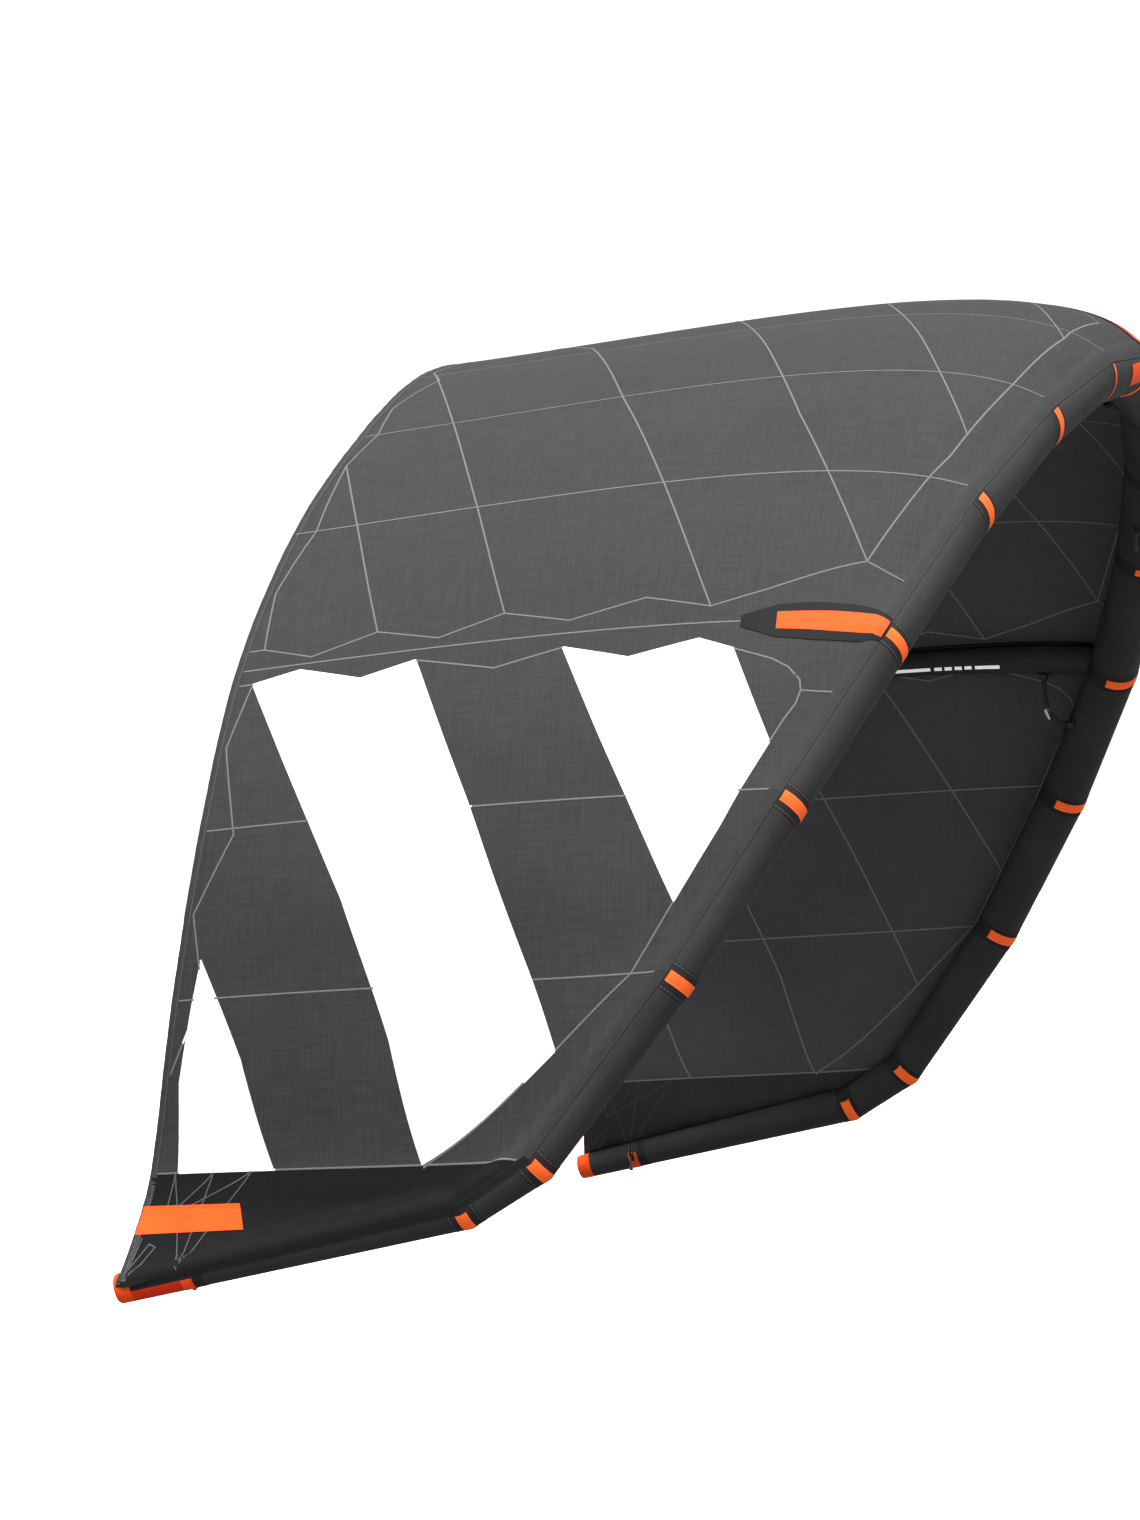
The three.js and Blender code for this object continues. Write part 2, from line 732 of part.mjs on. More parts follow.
// A short line that hangs from the leading edge and ends in a stopper knot.
function addPigtail(name, { segment, share, angle, length }, side) {
  const { place, axis } = onTube(segment, share, angle, side, PIGTAIL_STAND);
  const eye = place.clone().addScaledVector(axis, PIGTAIL_EYE);
  const knot = length - KNOT_HEIGHT;
  const outline = [
    [0, 1 - PIGTAIL_EYE],
    [PIGTAIL_RADIUS, 1 - PIGTAIL_EYE],
    [PIGTAIL_RADIUS, knot],
    [KNOT_RADIUS, knot + 2],
    [KNOT_RADIUS, length],
    [0, length],
  ];
  turned(`${name}_pigtail_${sideName(side)}`, outline, "pigtail", eye, vec(0, 0, -1));
}

[LEFT, RIGHT].forEach((side) => {
  Object.entries(PIGTAILS).forEach(([name, pigtail]) => addPigtail(name, pigtail, side));
});

export default kite;
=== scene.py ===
"""The looks of a three-strut inflatable kitesurf kite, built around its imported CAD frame.

Metres, in the frame's own axes: +X forwards to the leading edge, +Y to the left wing, +Z up,
the origin on the axis of the leading-edge tube at the middle of the kite. Places on the
canopy are pairs (u, v): u counts leading-edge stations from the middle, left positive, and
v runs from the leading edge, 0, to the trailing edge, 1.
"""
import math

import bmesh
import bpy
import numpy as np
from mathutils import Matrix, Vector, geometry


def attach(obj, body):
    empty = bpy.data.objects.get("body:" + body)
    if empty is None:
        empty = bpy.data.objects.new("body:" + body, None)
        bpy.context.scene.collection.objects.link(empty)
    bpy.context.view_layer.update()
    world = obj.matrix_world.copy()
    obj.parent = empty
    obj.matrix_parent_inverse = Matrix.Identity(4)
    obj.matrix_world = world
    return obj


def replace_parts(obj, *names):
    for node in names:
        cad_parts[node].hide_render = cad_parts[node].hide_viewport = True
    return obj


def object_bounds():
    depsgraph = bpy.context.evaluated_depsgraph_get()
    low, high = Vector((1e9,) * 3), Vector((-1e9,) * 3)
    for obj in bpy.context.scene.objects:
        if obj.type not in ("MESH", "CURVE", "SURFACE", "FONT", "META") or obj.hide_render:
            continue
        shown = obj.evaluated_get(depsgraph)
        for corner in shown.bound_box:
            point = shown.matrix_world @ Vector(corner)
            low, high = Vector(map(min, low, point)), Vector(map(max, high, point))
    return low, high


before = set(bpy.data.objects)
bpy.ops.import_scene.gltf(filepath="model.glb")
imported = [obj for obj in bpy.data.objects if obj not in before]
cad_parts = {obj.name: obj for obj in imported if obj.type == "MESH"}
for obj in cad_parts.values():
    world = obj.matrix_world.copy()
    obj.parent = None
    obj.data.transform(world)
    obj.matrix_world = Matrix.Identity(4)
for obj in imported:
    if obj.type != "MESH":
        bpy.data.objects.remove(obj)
cad_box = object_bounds()

MM = 0.001
LEFT = 1
RIGHT = -1
SIDES = {"left": LEFT, "right": RIGHT}
ROOT = "kite"

# ------------------------------------------------------------------ the arch of the kite

# Each leading-edge segment from the middle outwards: its length, how far it is turned down
# in the front view and how far it is swept back, in degrees.
SEGMENTS = (
    (0.450, 7, 0.5), (0.425, 17.5, 7.5), (0.435, 28, 12),
    (0.440, 42, 17.5), (0.420, 56.5, 25), (0.425, 70, 30),
    (0.460, 79.5, 37), (0.175, 86.5, 59), (0.755, 92, 78.5),
)
# Each station: the tube's radius, the chord, and the chord's twist in degrees.
STATIONS = (
    (0.070, 1.550, 3), (0.068, 1.545, 3), (0.066, 1.515, 2), (0.064, 1.470, 1),
    (0.062, 1.385, 0), (0.060, 1.245, -1.7), (0.055, 1.080, -4), (0.048, 0.855, -7),
    (0.045, 0.715, -6), (0.031, 0.032, 90),
)
TIP = len(SEGMENTS)
STRUT = 4

# The canopy's section: the angle at which it leaves the tube, and its two handles as shares
# of the chord. Each pair is for the middle and for SECTION_END.
SECTION_END = 7
LEAVE_ANGLE = (57, -19)
FRONT_HANDLE = (0.17, 0.23)
REAR_HANDLE = (0.43, 0.39)
REAR_SLOPE = math.radians(7)
# The share of the chord over which the cloth rounds off behind the straight tubes.
ROUNDING = 0.16
CLOTH_GAP = 1.2 * MM
CLOTH_THICK = 0.8 * MM
# The cloth ends just short of the tip's station.
CLOTH_TIP = 8.96


def segment_frame(front, sweep):
    """A segment's direction, and the ways outwards and forwards square to it."""
    a, s = math.radians(front), math.radians(sweep)
    along = (-math.sin(s), math.cos(s) * math.cos(a), -math.cos(s) * math.sin(a))
    outward = (0, math.sin(a), math.cos(a))
    forward = (math.cos(s), math.sin(s) * math.cos(a), -math.sin(s) * math.sin(a))
    return np.array(along), np.array(outward), np.array(forward)


FRAMES = [segment_frame(*s[1:]) for s in SEGMENTS]
AXIS = np.cumsum([np.zeros(3)] + [s[0] * f[0] for s, f in zip(SEGMENTS, FRAMES)], axis=0)
RADIUS = np.array([s[0] for s in STATIONS])
FRONT = np.array([s[1] for s in SEGMENTS], dtype=float)
ANGLE = np.radians(np.concatenate([[0], (FRONT[:-1] + FRONT[1:]) / 2, FRONT[-1:]]))
# The distance round the arch from the middle to each station, seen from the front.
AROUND = np.cumsum([0] + [s[0] * math.cos(math.radians(s[2])) for s in SEGMENTS])
FLIP = np.array([1, -1, 1])


def unit(v):
    """Vectors made one metre long."""
    return v / np.linalg.norm(v, axis=-1, keepdims=True)


def mitre(k):
    """The normal of the plane in which two segments meet."""
    if k == 0:
        return np.array([0.0, 1, 0])
    return FRAMES[k - 1][0] if k == TIP else unit(FRAMES[k - 1][0] + FRAMES[k][0])


def between(table, s):
    """A station table read at places between stations."""
    k = np.clip(np.floor(s).astype(int), 0, TIP - 1)
    share = s - k
    if table.ndim > 1:
        share = share[..., None]
    return table[k] * (1 - share) + table[k + 1] * share


def outward_at(s):
    """The way out of the arch, s stations from the middle."""
    a = between(ANGLE, s)
    return np.stack([np.zeros_like(a), np.sin(a), np.cos(a)], axis=-1)


def both_wings(points):
    """The left wing's station points with the right wing's before them."""
    return np.concatenate([(points[1:] * FLIP)[::-1], points])


def smooth_curve(points, s):
    """A centripetal curve through both wings' station points, read at s stations from the
    middle."""
    pts = both_wings(points)
    pts = np.concatenate([[2 * pts[0] - pts[1]], pts, [2 * pts[-1] - pts[-2]]])
    place = s + TIP
    k = np.clip(np.floor(place).astype(int), 0, 2 * TIP - 1)
    w = (place - k)[..., None]
    p0, p1, p2, p3 = (pts[k + j] for j in range(4))
    d0, d1, d2 = (
        np.sqrt(np.linalg.norm(b - a, axis=-1, keepdims=True))
        for a, b in ((p0, p1), (p1, p2), (p2, p3))
    )
    t1 = ((p1 - p0) / d0 - (p2 - p0) / (d0 + d1) + (p2 - p1) / d1) * d1
    t2 = ((p2 - p1) / d1 - (p3 - p1) / (d1 + d2) + (p3 - p2) / d2) * d1
    square = (3 * (p2 - p1) - 2 * t1 - t2) * w**2
    return p1 + t1 * w + square + (2 * (p1 - p2) + t1 + t2) * w**3


def trailing_points():
    """The trailing edge's place at each station."""
    rows = []
    for k, (_, chord, twist) in enumerate(STATIONS):
        t = math.radians(twist)
        back = np.array([-math.cos(t), 0, 0]) + outward_at(np.array(float(k))) * math.sin(t)
        rows.append(AXIS[k] + back * chord)
    return np.array(rows)


TRAILING = trailing_points()


def section_value(pair, s):
    """A section's value s stations out, from those in the middle and at SECTION_END."""
    share = np.minimum(s / SECTION_END, 1)
    return pair[0] * (1 - share) + pair[1] * share


def clear_of_tube(points, gap):
    """Pushes points out of the leading-edge tube, so that the cloth wraps over it."""
    for k in range(TIP):
        a, step = AXIS[k], AXIS[k + 1] - AXIS[k]
        share = np.clip((points - a) @ step / (step @ step), 0, 1)[..., None]
        foot = a + share * step
        least = RADIUS[k] * (1 - share) + RADIUS[k + 1] * share + gap
        away = points - foot
        reach = np.linalg.norm(away, axis=-1, keepdims=True)
        points = np.where(reach < least, foot + away / np.maximum(reach, 1e-9) * least, points)
    return points


def smoothstep(low, high, x):
    """0 below low, 1 above high, and a soft step between them."""
    t = np.clip((x - low) / (high - low), 0, 1)
    return t * t * (3 - 2 * t)


def bare_cloth(u, v):
    """The canopy's inner face before its relief."""
    u, v = np.broadcast_arrays(np.asarray(u, float), np.asarray(v, float))
    s = np.minimum(np.abs(u), TIP - 1e-6)
    axis = between(AXIS, s)
    end = smooth_curve(TRAILING, s)
    chord = np.linalg.norm(end - axis, axis=-1, keepdims=True)
    back = (end - axis) / chord
    out = outward_at(s)
    leave = np.radians(section_value(LEAVE_ANGLE, s))[..., None]
    radius = between(RADIUS, s)[..., None]
    start = axis + out * radius * np.cos(leave) - back * radius * np.sin(leave)
    reach = section_value(FRONT_HANDLE, s)[..., None] * chord
    front = start + reach * (back * np.cos(leave) + out * np.sin(leave))
    reach = section_value(REAR_HANDLE, s)[..., None] * chord
    rear = end + reach * (out * math.sin(REAR_SLOPE) - back * math.cos(REAR_SLOPE))
    t = v[..., None]
    point = (1 - t) ** 3 * start + 3 * t * (1 - t) ** 2 * front
    point = point + 3 * t**2 * (1 - t) * rear + t**3 * end
    # Behind the straight tubes the cloth rounds off into one smooth arch.
    rounding = (1 - t) ** 2 * (1 + 2 * t) * smoothstep(0.0, ROUNDING, t)
    point = point + rounding * (smooth_curve(AXIS, s) - axis)
    point = clear_of_tube(point, CLOTH_GAP)
    return np.where(u[..., None] < 0, point * FLIP, point)


def cloth_normal(u, v, step=0.01):
    """The way out of the canopy's outer face."""
    u, v = np.broadcast_arrays(np.asarray(u, float), np.asarray(v, float))
    u0, u1 = np.maximum(u - step, -TIP + 0.02), np.minimum(u + step, TIP - 0.02)
    v0, v1 = np.maximum(v - step, 0), np.minimum(v + step, 1)
    wing = bare_cloth(u1, v) - bare_cloth(u0, v)
    chord = bare_cloth(u, v1) - bare_cloth(u, v0)
    return unit(np.cross(wing, chord))


PILLOW = 5 * MM
WRINKLE = 0.9 * MM
# How quickly wrinkles fade away from the rear and the front edge, in shares of the chord.
REAR_FADE = 0.07
FRONT_FADE = 0.1
# The swell ends between these stations, and wrinkles start between these shares.
SWELL_END = (7, 8)
WRINKLE_START = (0.06, 0.14)


def relief(u, v):
    """How far the filled cloth swells out between its chordwise seams, with fine wrinkles."""
    s = np.abs(u)
    swell = PILLOW * np.sin(np.pi * s) ** 2 * np.sin(np.pi * np.clip(v, 0, 1)) ** 0.7
    swell = swell * (1 - smoothstep(*SWELL_END, s))
    edge = np.exp(-(1 - v) / REAR_FADE) + 0.9 * np.exp(-v / FRONT_FADE)
    rays = np.sin(31 * u + 4 * np.sin(9 * v)) * np.sin(17.3 * u + 2.1)
    return swell + WRINKLE * rays * edge * smoothstep(*WRINKLE_START, v)


def cloth(u, v, lift=0.0):
    """A point on the canopy: lift 0 is its inner face, CLOTH_THICK its outer face."""
    normal = cloth_normal(u, v)
    return bare_cloth(u, v) + normal * (relief(u, v) + lift)[..., None]


def skin_point(segment, station, radius, angle, inset):
    """A point on a segment's skin, inset along the wing from the mitre of a station. The
    angle is from the outermost line, forwards positive."""
    along, outward, forward = FRAMES[segment]
    a = np.radians(np.asarray(angle, float))[..., None]
    reach = (outward * np.cos(a) + forward * np.sin(a)) * np.asarray(radius)[..., None]
    m = mitre(station)
    slide = (np.asarray(inset) - reach @ m) / (along @ m)
    return AXIS[station] + reach + slide[..., None] * along


# ------------------------------------------------------------------ flat cloth coordinates

# Seams are straight in the flat cloth, whose coordinates are the distance round the arch
# and the distance back.

TABLE_U = np.linspace(-TIP + 0.02, TIP - 0.02, 721)
TABLE_V = np.linspace(0, 1, 101)
TABLE_BACK = -bare_cloth(TABLE_U[:, None], TABLE_V[None, :])[..., 0]


def flat(places):
    """Places on the cloth laid flat."""
    u, v = np.asarray(places, float).T
    around = np.sign(u) * np.interp(np.abs(u), np.arange(TIP + 1), AROUND)
    return np.stack([around, -bare_cloth(u, v)[..., 0]], axis=-1)


def lifted(points):
    """Flat points back on the cloth, as places (u, v)."""
    around, back = np.asarray(points, float).T
    u = np.sign(around) * np.interp(np.abs(around), AROUND, np.arange(TIP + 1))
    column = np.interp(u, TABLE_U, np.arange(len(TABLE_U)))
    low = np.minimum(column.astype(int), len(TABLE_U) - 2)
    share = (column - low)[:, None]
    rows = TABLE_BACK[low] * (1 - share) + TABLE_BACK[low + 1] * share
    v = [np.interp(b, row, TABLE_V) for b, row in zip(back, rows)]
    return np.stack([u, v], axis=-1)


PATH_STEP = 28 * MM
FINE_STEP = 12 * MM


def wing(places, side):
    """Places given for the left wing, on either wing."""
    return [(u * side, v) for u, v in places]


def path(corners, step=PATH_STEP):
    """Flat points along straight lines through corner places."""
    ends = flat(corners)
    points = [ends[:1]]
    for a, b in zip(ends[:-1], ends[1:]):
        count = max(int(np.linalg.norm(b - a) / step), 1)
        points.append(a + (b - a) * (np.arange(1, count + 1) / count)[:, None])
    return np.concatenate(points)


def on_cloth(points, lift):
    """Points on the canopy from flat points."""
    u, v = lifted(points).T
    return cloth(u, v, lift)


# ------------------------------------------------------------------ meshes

def oriented(part):
    """A closed shell with its faces turned outwards."""
    points, faces, corners = part
    total = 0.0
    for size in {len(f) for f in faces}:
        ring = points[np.array([f for f in faces if len(f) == size])]
        for j in range(1, size - 1):
            total += np.sum(ring[:, 0] * np.cross(ring[:, j], ring[:, j + 1]))
    if total < 0:
        faces = [f[::-1] for f in faces]
        corners = [c[::-1] for c in corners]
    return points, faces, corners


def cell(i, j):
    """The corners of a grid's cell, as rows and columns."""
    return [(i, j), (i + 1, j), (i + 1, j + 1), (i, j + 1)]


def shell(outer, inner, uv, wrap=False):
    """A closed shell between two grids of points. With wrap the grid's columns join round,
    and uv has one column more."""
    rows, columns = outer.shape[:2]
    points = np.concatenate([outer.reshape(-1, 3), inner.reshape(-1, 3)])
    below = rows * columns
    reach = columns if wrap else columns - 1
    faces, corners = [], []

    def at(i, j, low=0):
        return low + i * columns + j % columns

    def add(ids, spots, turn):
        faces.append(ids[::turn])
        corners.append([uv[s] for s in spots][::turn])

    for i in range(rows - 1):
        for j in range(reach):
            ring = cell(i, j)
            add([at(*c) for c in ring], ring, 1)
            add([at(*c, below) for c in ring], ring, -1)
    for i, turn in ((0, 1), (rows - 1, -1)):
        for j in range(reach):
            ids = [at(i, j), at(i, j + 1), at(i, j + 1, below), at(i, j, below)]
            add(ids, [(i, j), (i, j + 1), (i, j + 1), (i, j)], turn)
    if not wrap:
        for j, turn in ((0, -1), (columns - 1, 1)):
            for i in range(rows - 1):
                ids = [at(i, j), at(i + 1, j), at(i + 1, j, below), at(i, j, below)]
                add(ids, [(i, j), (i + 1, j), (i + 1, j), (i, j)], turn)
    return oriented((points, faces, corners))


def solid(rings, uv):
    """A closed solid through rings of points, each end closed by one face. uv has one
    column more than a ring."""
    rows, columns = rings.shape[:2]
    faces, corners = [], []
    for i in range(rows - 1):
        for j in range(columns):
            ring = cell(i, j)
            faces.append([a * columns + b % columns for a, b in ring])
            corners.append([uv[c] for c in ring])
    for i, turn in ((0, 1), (rows - 1, -1)):
        ids = [i * columns + j for j in range(columns)]
        faces.append(ids[::turn])
        corners.append([uv[i, j] for j in range(columns)][::turn])
    return oriented((rings.reshape(-1, 3), faces, corners))


def joined(parts):
    """Several parts as one."""
    points, faces, corners, count = [], [], [], 0
    for p, f, c in parts:
        points.append(p)
        faces += [[i + count for i in face] for face in f]
        corners += c
        count += len(p)
    return np.concatenate(points), faces, corners


def mirrored(part, side):
    """A left-wing part, or its mirror image on the right wing."""
    if side == LEFT:
        return part
    points, faces, corners = part
    return points * FLIP, [f[::-1] for f in faces], [c[::-1] for c in corners]


def paired(parts):
    """Left-wing parts and their mirror images, as one part."""
    return joined([mirrored(p, side) for side in SIDES.values() for p in parts])


SHARP = math.radians(50)


def add_piece(name, part, materials, slot, body=ROOT, indices=None):
    """A new object from a part, riding a body."""
    points, faces, corners = part
    materials = materials if isinstance(materials, list) else [materials]
    mesh = bpy.data.meshes.new(name)
    mesh.from_pydata(points.tolist(), [], [[int(i) for i in f] for f in faces])
    for m in materials:
        mesh.materials.append(m)
    if indices is not None:
        mesh.polygons.foreach_set("material_index", indices)
    mesh.polygons.foreach_set("use_smooth", [True] * len(faces))
    layer = mesh.uv_layers.new(name="cloth")
    layer.data.foreach_set("uv", np.array([c for q in corners for c in q]).ravel())
    mesh.set_sharp_from_angle(angle=SHARP)
    mesh.update()
    obj = bpy.data.objects.new(name, mesh)
    bpy.context.scene.collection.objects.link(obj)
    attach(obj, body)
    return obj


def run_lengths(points):
    """The distance along a run of points, for each point."""
    steps = np.linalg.norm(np.diff(points, axis=0), axis=-1)
    return np.concatenate([[0], np.cumsum(steps)])


def grid_uv(across, along):
    """Uvs of a grid in metres, x down its rows and y across its columns."""
    return np.stack(np.meshgrid(along, across, indexing="ij"), axis=-1)


def round_uv(across, along):
    """Uvs of a grid in metres, x across its columns and y down its rows."""
    return np.stack(np.meshgrid(across, along), axis=-1)


def inside(polygon, points):
    """Which points lie inside a polygon."""
    hit = np.zeros(len(points), bool)
    for a, b in zip(polygon, np.roll(polygon, -1, axis=0)):
        spans = (a[1] > points[:, 1]) != (b[1] > points[:, 1])
        if spans.any():
            x = a[0] + (points[:, 1] - a[1]) * (b[0] - a[0]) / (b[1] - a[1])
            hit ^= spans & (points[:, 0] < x)
    return hit


BUCKET = 0.05


def bucket_of(p):
    """The square cell that a flat point lies in."""
    return int(p[0] // BUCKET), int(p[1] // BUCKET)


def mesh_flat(outline, lines, spacing):
    """Triangles over a flat outline, with its inner lines as edges."""
    lowest, highest = outline.min(axis=0), outline.max(axis=0)
    spots = np.stack(np.meshgrid(
        np.arange(lowest[0], highest[0], spacing),
        np.arange(lowest[1], highest[1], spacing * 0.95),
    ), axis=-1)
    spots[1::2, :, 0] += spacing / 2
    spots = spots.reshape(-1, 2)
    spots = spots[inside(outline, spots)]
    buckets = {}
    for p in np.concatenate([outline, *lines]):
        buckets.setdefault(bucket_of(p), []).append(p)
    least = (spacing * 0.45) ** 2
    kept = []
    for p in spots:
        column, row = bucket_of(p)
        near = [q for i in (-1, 0, 1) for j in (-1, 0, 1)
                for q in buckets.get((column + i, row + j), ())]
        if all((p[0] - q[0]) ** 2 + (p[1] - q[1]) ** 2 > least for q in near):
            kept.append(p)
    verts = [Vector(p) for p in outline]
    edges = [(i, (i + 1) % len(outline)) for i in range(len(outline))]
    for line in lines:
        base = len(verts)
        verts += [Vector(p) for p in line]
        edges += [(base + i, base + i + 1) for i in range(len(line) - 1)]
    verts += [Vector(p) for p in kept]
    out = geometry.delaunay_2d_cdt(verts, edges, [], 1, 1e-5)
    return np.array([tuple(p) for p in out[0]]), [list(f) for f in out[2]]


def layered(place, lifts, uv, side=LEFT, wrap=False):
    """A closed shell between the grids that place gives at an outer and an inner lift."""
    return mirrored(shell(*(place(lift) for lift in lifts), uv, wrap), side)


def cloth_sheet(outline, lines, low, high, spacing):
    """A closed sheet over a flat outline of the cloth, between two lifts. Also gives the
    flat middle of each face of its upper side."""
    spots, triangles = mesh_flat(outline, lines, spacing)
    u, v = lifted(spots).T
    points = np.concatenate([cloth(u, v, high), cloth(u, v, low)])
    count = len(spots)
    used = {(a, b): True for tri in triangles for a, b in zip(tri, tri[1:] + tri[:1])}
    faces = triangles + [[i + count for i in t[::-1]] for t in triangles]
    faces += [[b, a, a + count, b + count] for a, b in used if (b, a) not in used]
    corners = [[tuple(spots[i % count]) for i in f] for f in faces]
    middles = np.array([spots[t].mean(axis=0) for t in triangles])
    return oriented((points, faces, corners)), middles


def ribbon(points, half, low, high):
    """A tape along a flat path on the cloth, between two lifts."""
    forward = np.diff(points, axis=0)
    forward /= np.linalg.norm(forward, axis=-1, keepdims=True)
    before = np.concatenate([forward[:1], forward])
    after = np.concatenate([forward, forward[-1:]])
    tangent = unit(before + after)
    stretch = 1 / np.maximum(np.sum(tangent * after, axis=-1), 0.5)
    across = np.stack([-tangent[:, 1], tangent[:, 0]], axis=-1) * stretch[:, None]
    offsets = (-half, 0, half)

    def place(lift):
        return np.stack([on_cloth(points + across * o, lift) for o in offsets], axis=1)

    return layered(place, (high, low), grid_uv(offsets, run_lengths(points)))


def closed_path(corners, side, step=PATH_STEP):
    """Flat points round an outline of corner places."""
    places = wing(corners, side)
    return path([*places, places[0]], step)[:-1]


def near_polygon(points, polygon, margin):
    """Which points lie inside a polygon or within a margin of its edge."""
    near = inside(polygon, points)
    for a, b in zip(polygon, np.roll(polygon, -1, axis=0)):
        step = b - a
        share = np.clip((points - a) @ step / max(step @ step, 1e-12), 0, 1)[:, None]
        near |= np.linalg.norm(points - a - share * step, axis=-1) < margin
    return near


# ------------------------------------------------------------------ materials

def tone(red, green, blue):
    """A colour given as it looks on a screen, 0 to 255, as linear light."""
    def channel(c):
        c /= 255
        return c / 12.92 if c <= 0.04045 else ((c + 0.055) / 1.055) ** 2.4
    return (channel(red), channel(green), channel(blue), 1)


class Nodes:
    """A node tree, and short ways to add to it."""

    def __init__(self, tree):
        self.tree = tree

    def node(self, kind, inputs=(), **settings):
        node = self.tree.nodes.new("ShaderNode" + kind)
        for key, value in settings.items():
            setattr(node, key, value)
        for key, value in dict(inputs).items():
            self.feed(node.inputs[key], value)
        return node

    def feed(self, socket, value):
        if isinstance(value, bpy.types.NodeSocket):
            self.tree.links.new(value, socket)
        else:
            socket.default_value = value


class Shader(Nodes):
    """A material made of nodes."""

    def __init__(self, name):
        self.material = bpy.data.materials.new(name)
        self.material.use_nodes = True
        super().__init__(self.material.node_tree)
        self.surface = self.tree.nodes["Principled BSDF"]
        self.height = None

    def math(self, operation, *values):
        return self.node("Math", enumerate(values), operation=operation).outputs[0]

    def uv(self):
        parts = self.node("SeparateXYZ", {0: self.node("UVMap").outputs[0]})
        return parts.outputs[0], parts.outputs[1]

    def place(self):
        return self.node("TexCoord").outputs["Object"]

    def vector(self, x, y, z=0.0):
        return self.node("CombineXYZ", enumerate((x, y, z))).outputs[0]

    def noise(self, vector, scale, detail=2.0, rough=0.5):
        inputs = {"Vector": vector, "Scale": scale, "Detail": detail, "Roughness": rough}
        return self.node("TexNoise", inputs).outputs[0]

    def remap(self, value, low, high, to_low=0.0, to_high=1.0):
        inputs = {0: value, 1: low, 2: high, 3: to_low, 4: to_high}
        return self.node("MapRange", inputs, interpolation_type="SMOOTHSTEP").outputs[0]

    def lines(self, value, spacing, width):
        """1 on lines a spacing apart, 0 between them."""
        away = self.math("PINGPONG", value, spacing / 2)
        return self.remap(away, width / 2, width, 1.0, 0.0)

    def blend(self, share, first, second):
        """The first colour where share is 0, the second where it is 1."""
        return self.node("Mix", {0: share, 6: first, 7: second}, data_type="RGBA").outputs[2]

    def scaled(self, colour, value):
        """A colour made lighter or darker by a value."""
        return self.node("VectorMath", {0: colour[:3], 3: value}, operation="SCALE").outputs[0]

    def stretched(self, x, y, across, along, detail=3.0):
        """Noise drawn out into streaks, from how often it changes each way per metre."""
        place = self.vector(self.math("MULTIPLY", x, across), self.math("MULTIPLY", y, along))
        return self.noise(place, 1.0, detail)

    def bump(self, height, distance, strength=1.0):
        inputs = {"Height": height, "Distance": distance, "Strength": strength}
        if self.height is not None:
            inputs["Normal"] = self.height
        self.height = self.node("Bump", inputs).outputs[0]

    def finish(self, colour, roughness, **values):
        self.feed(self.surface.inputs["Base Color"], colour)
        self.feed(self.surface.inputs["Roughness"], roughness)
        for key, value in values.items():
            self.feed(self.surface.inputs[key.replace("_", " ").title()
                                          .replace("Ior", "IOR")], value)
        if self.height is not None:
            self.feed(self.surface.inputs["Normal"], self.height)
        return self.material


# Shares of light that the surfaces mirror. Dull cloth mirrors almost none.
CLOTH_MIRROR = 0.06
SAILCLOTH_MIRROR = 0.08
PLASTIC_MIRROR = 0.45
RIPSTOP_GRID = 7 * MM
RIPSTOP_THREAD = 0.6 * MM
YARN = 1.1 * MM


def woven(name, colour, rough=0.62, streak=0.12, crumple=1.0):
    """Coated ripstop cloth: crossed thread streaks, a raised ripstop grid, soft crumples and
    a little wear."""
    s = Shader(name)
    x, y = s.uv()
    warp, weft = s.stretched(x, y, 190.0, 11.0), s.stretched(x, y, 11.0, 190.0)
    crossed = s.math("MULTIPLY", s.math("ADD", warp, weft), 0.5)
    shade = s.remap(crossed, 0.36, 0.64, 1 - streak, 1 + streak)
    cells = s.math("MAXIMUM", *(s.lines(a, RIPSTOP_GRID, RIPSTOP_THREAD) for a in (x, y)))
    shade = s.math("MULTIPLY", shade, s.math("ADD", 1.0, s.math("MULTIPLY", cells, 0.06)))
    patchy = s.noise(s.vector(x, y), 2.2, 4.0, 0.6)
    shade = s.math("MULTIPLY", shade, s.remap(patchy, 0.3, 0.7, 0.94, 1.06))
    creases = s.noise(s.vector(s.math("MULTIPLY", x, 0.35), y), 26.0, 5.0, 0.62)
    s.bump(creases, 4.0 * MM * crumple, 0.5)
    s.bump(crossed, 0.5 * MM, 0.6)
    s.bump(cells, 0.12 * MM, 0.6)
    worn = s.remap(patchy, 0.35, 0.75, rough - 0.05, rough + 0.08)
    return s.finish(s.scaled(colour, shade), worn, specular_ior_level=CLOTH_MIRROR)


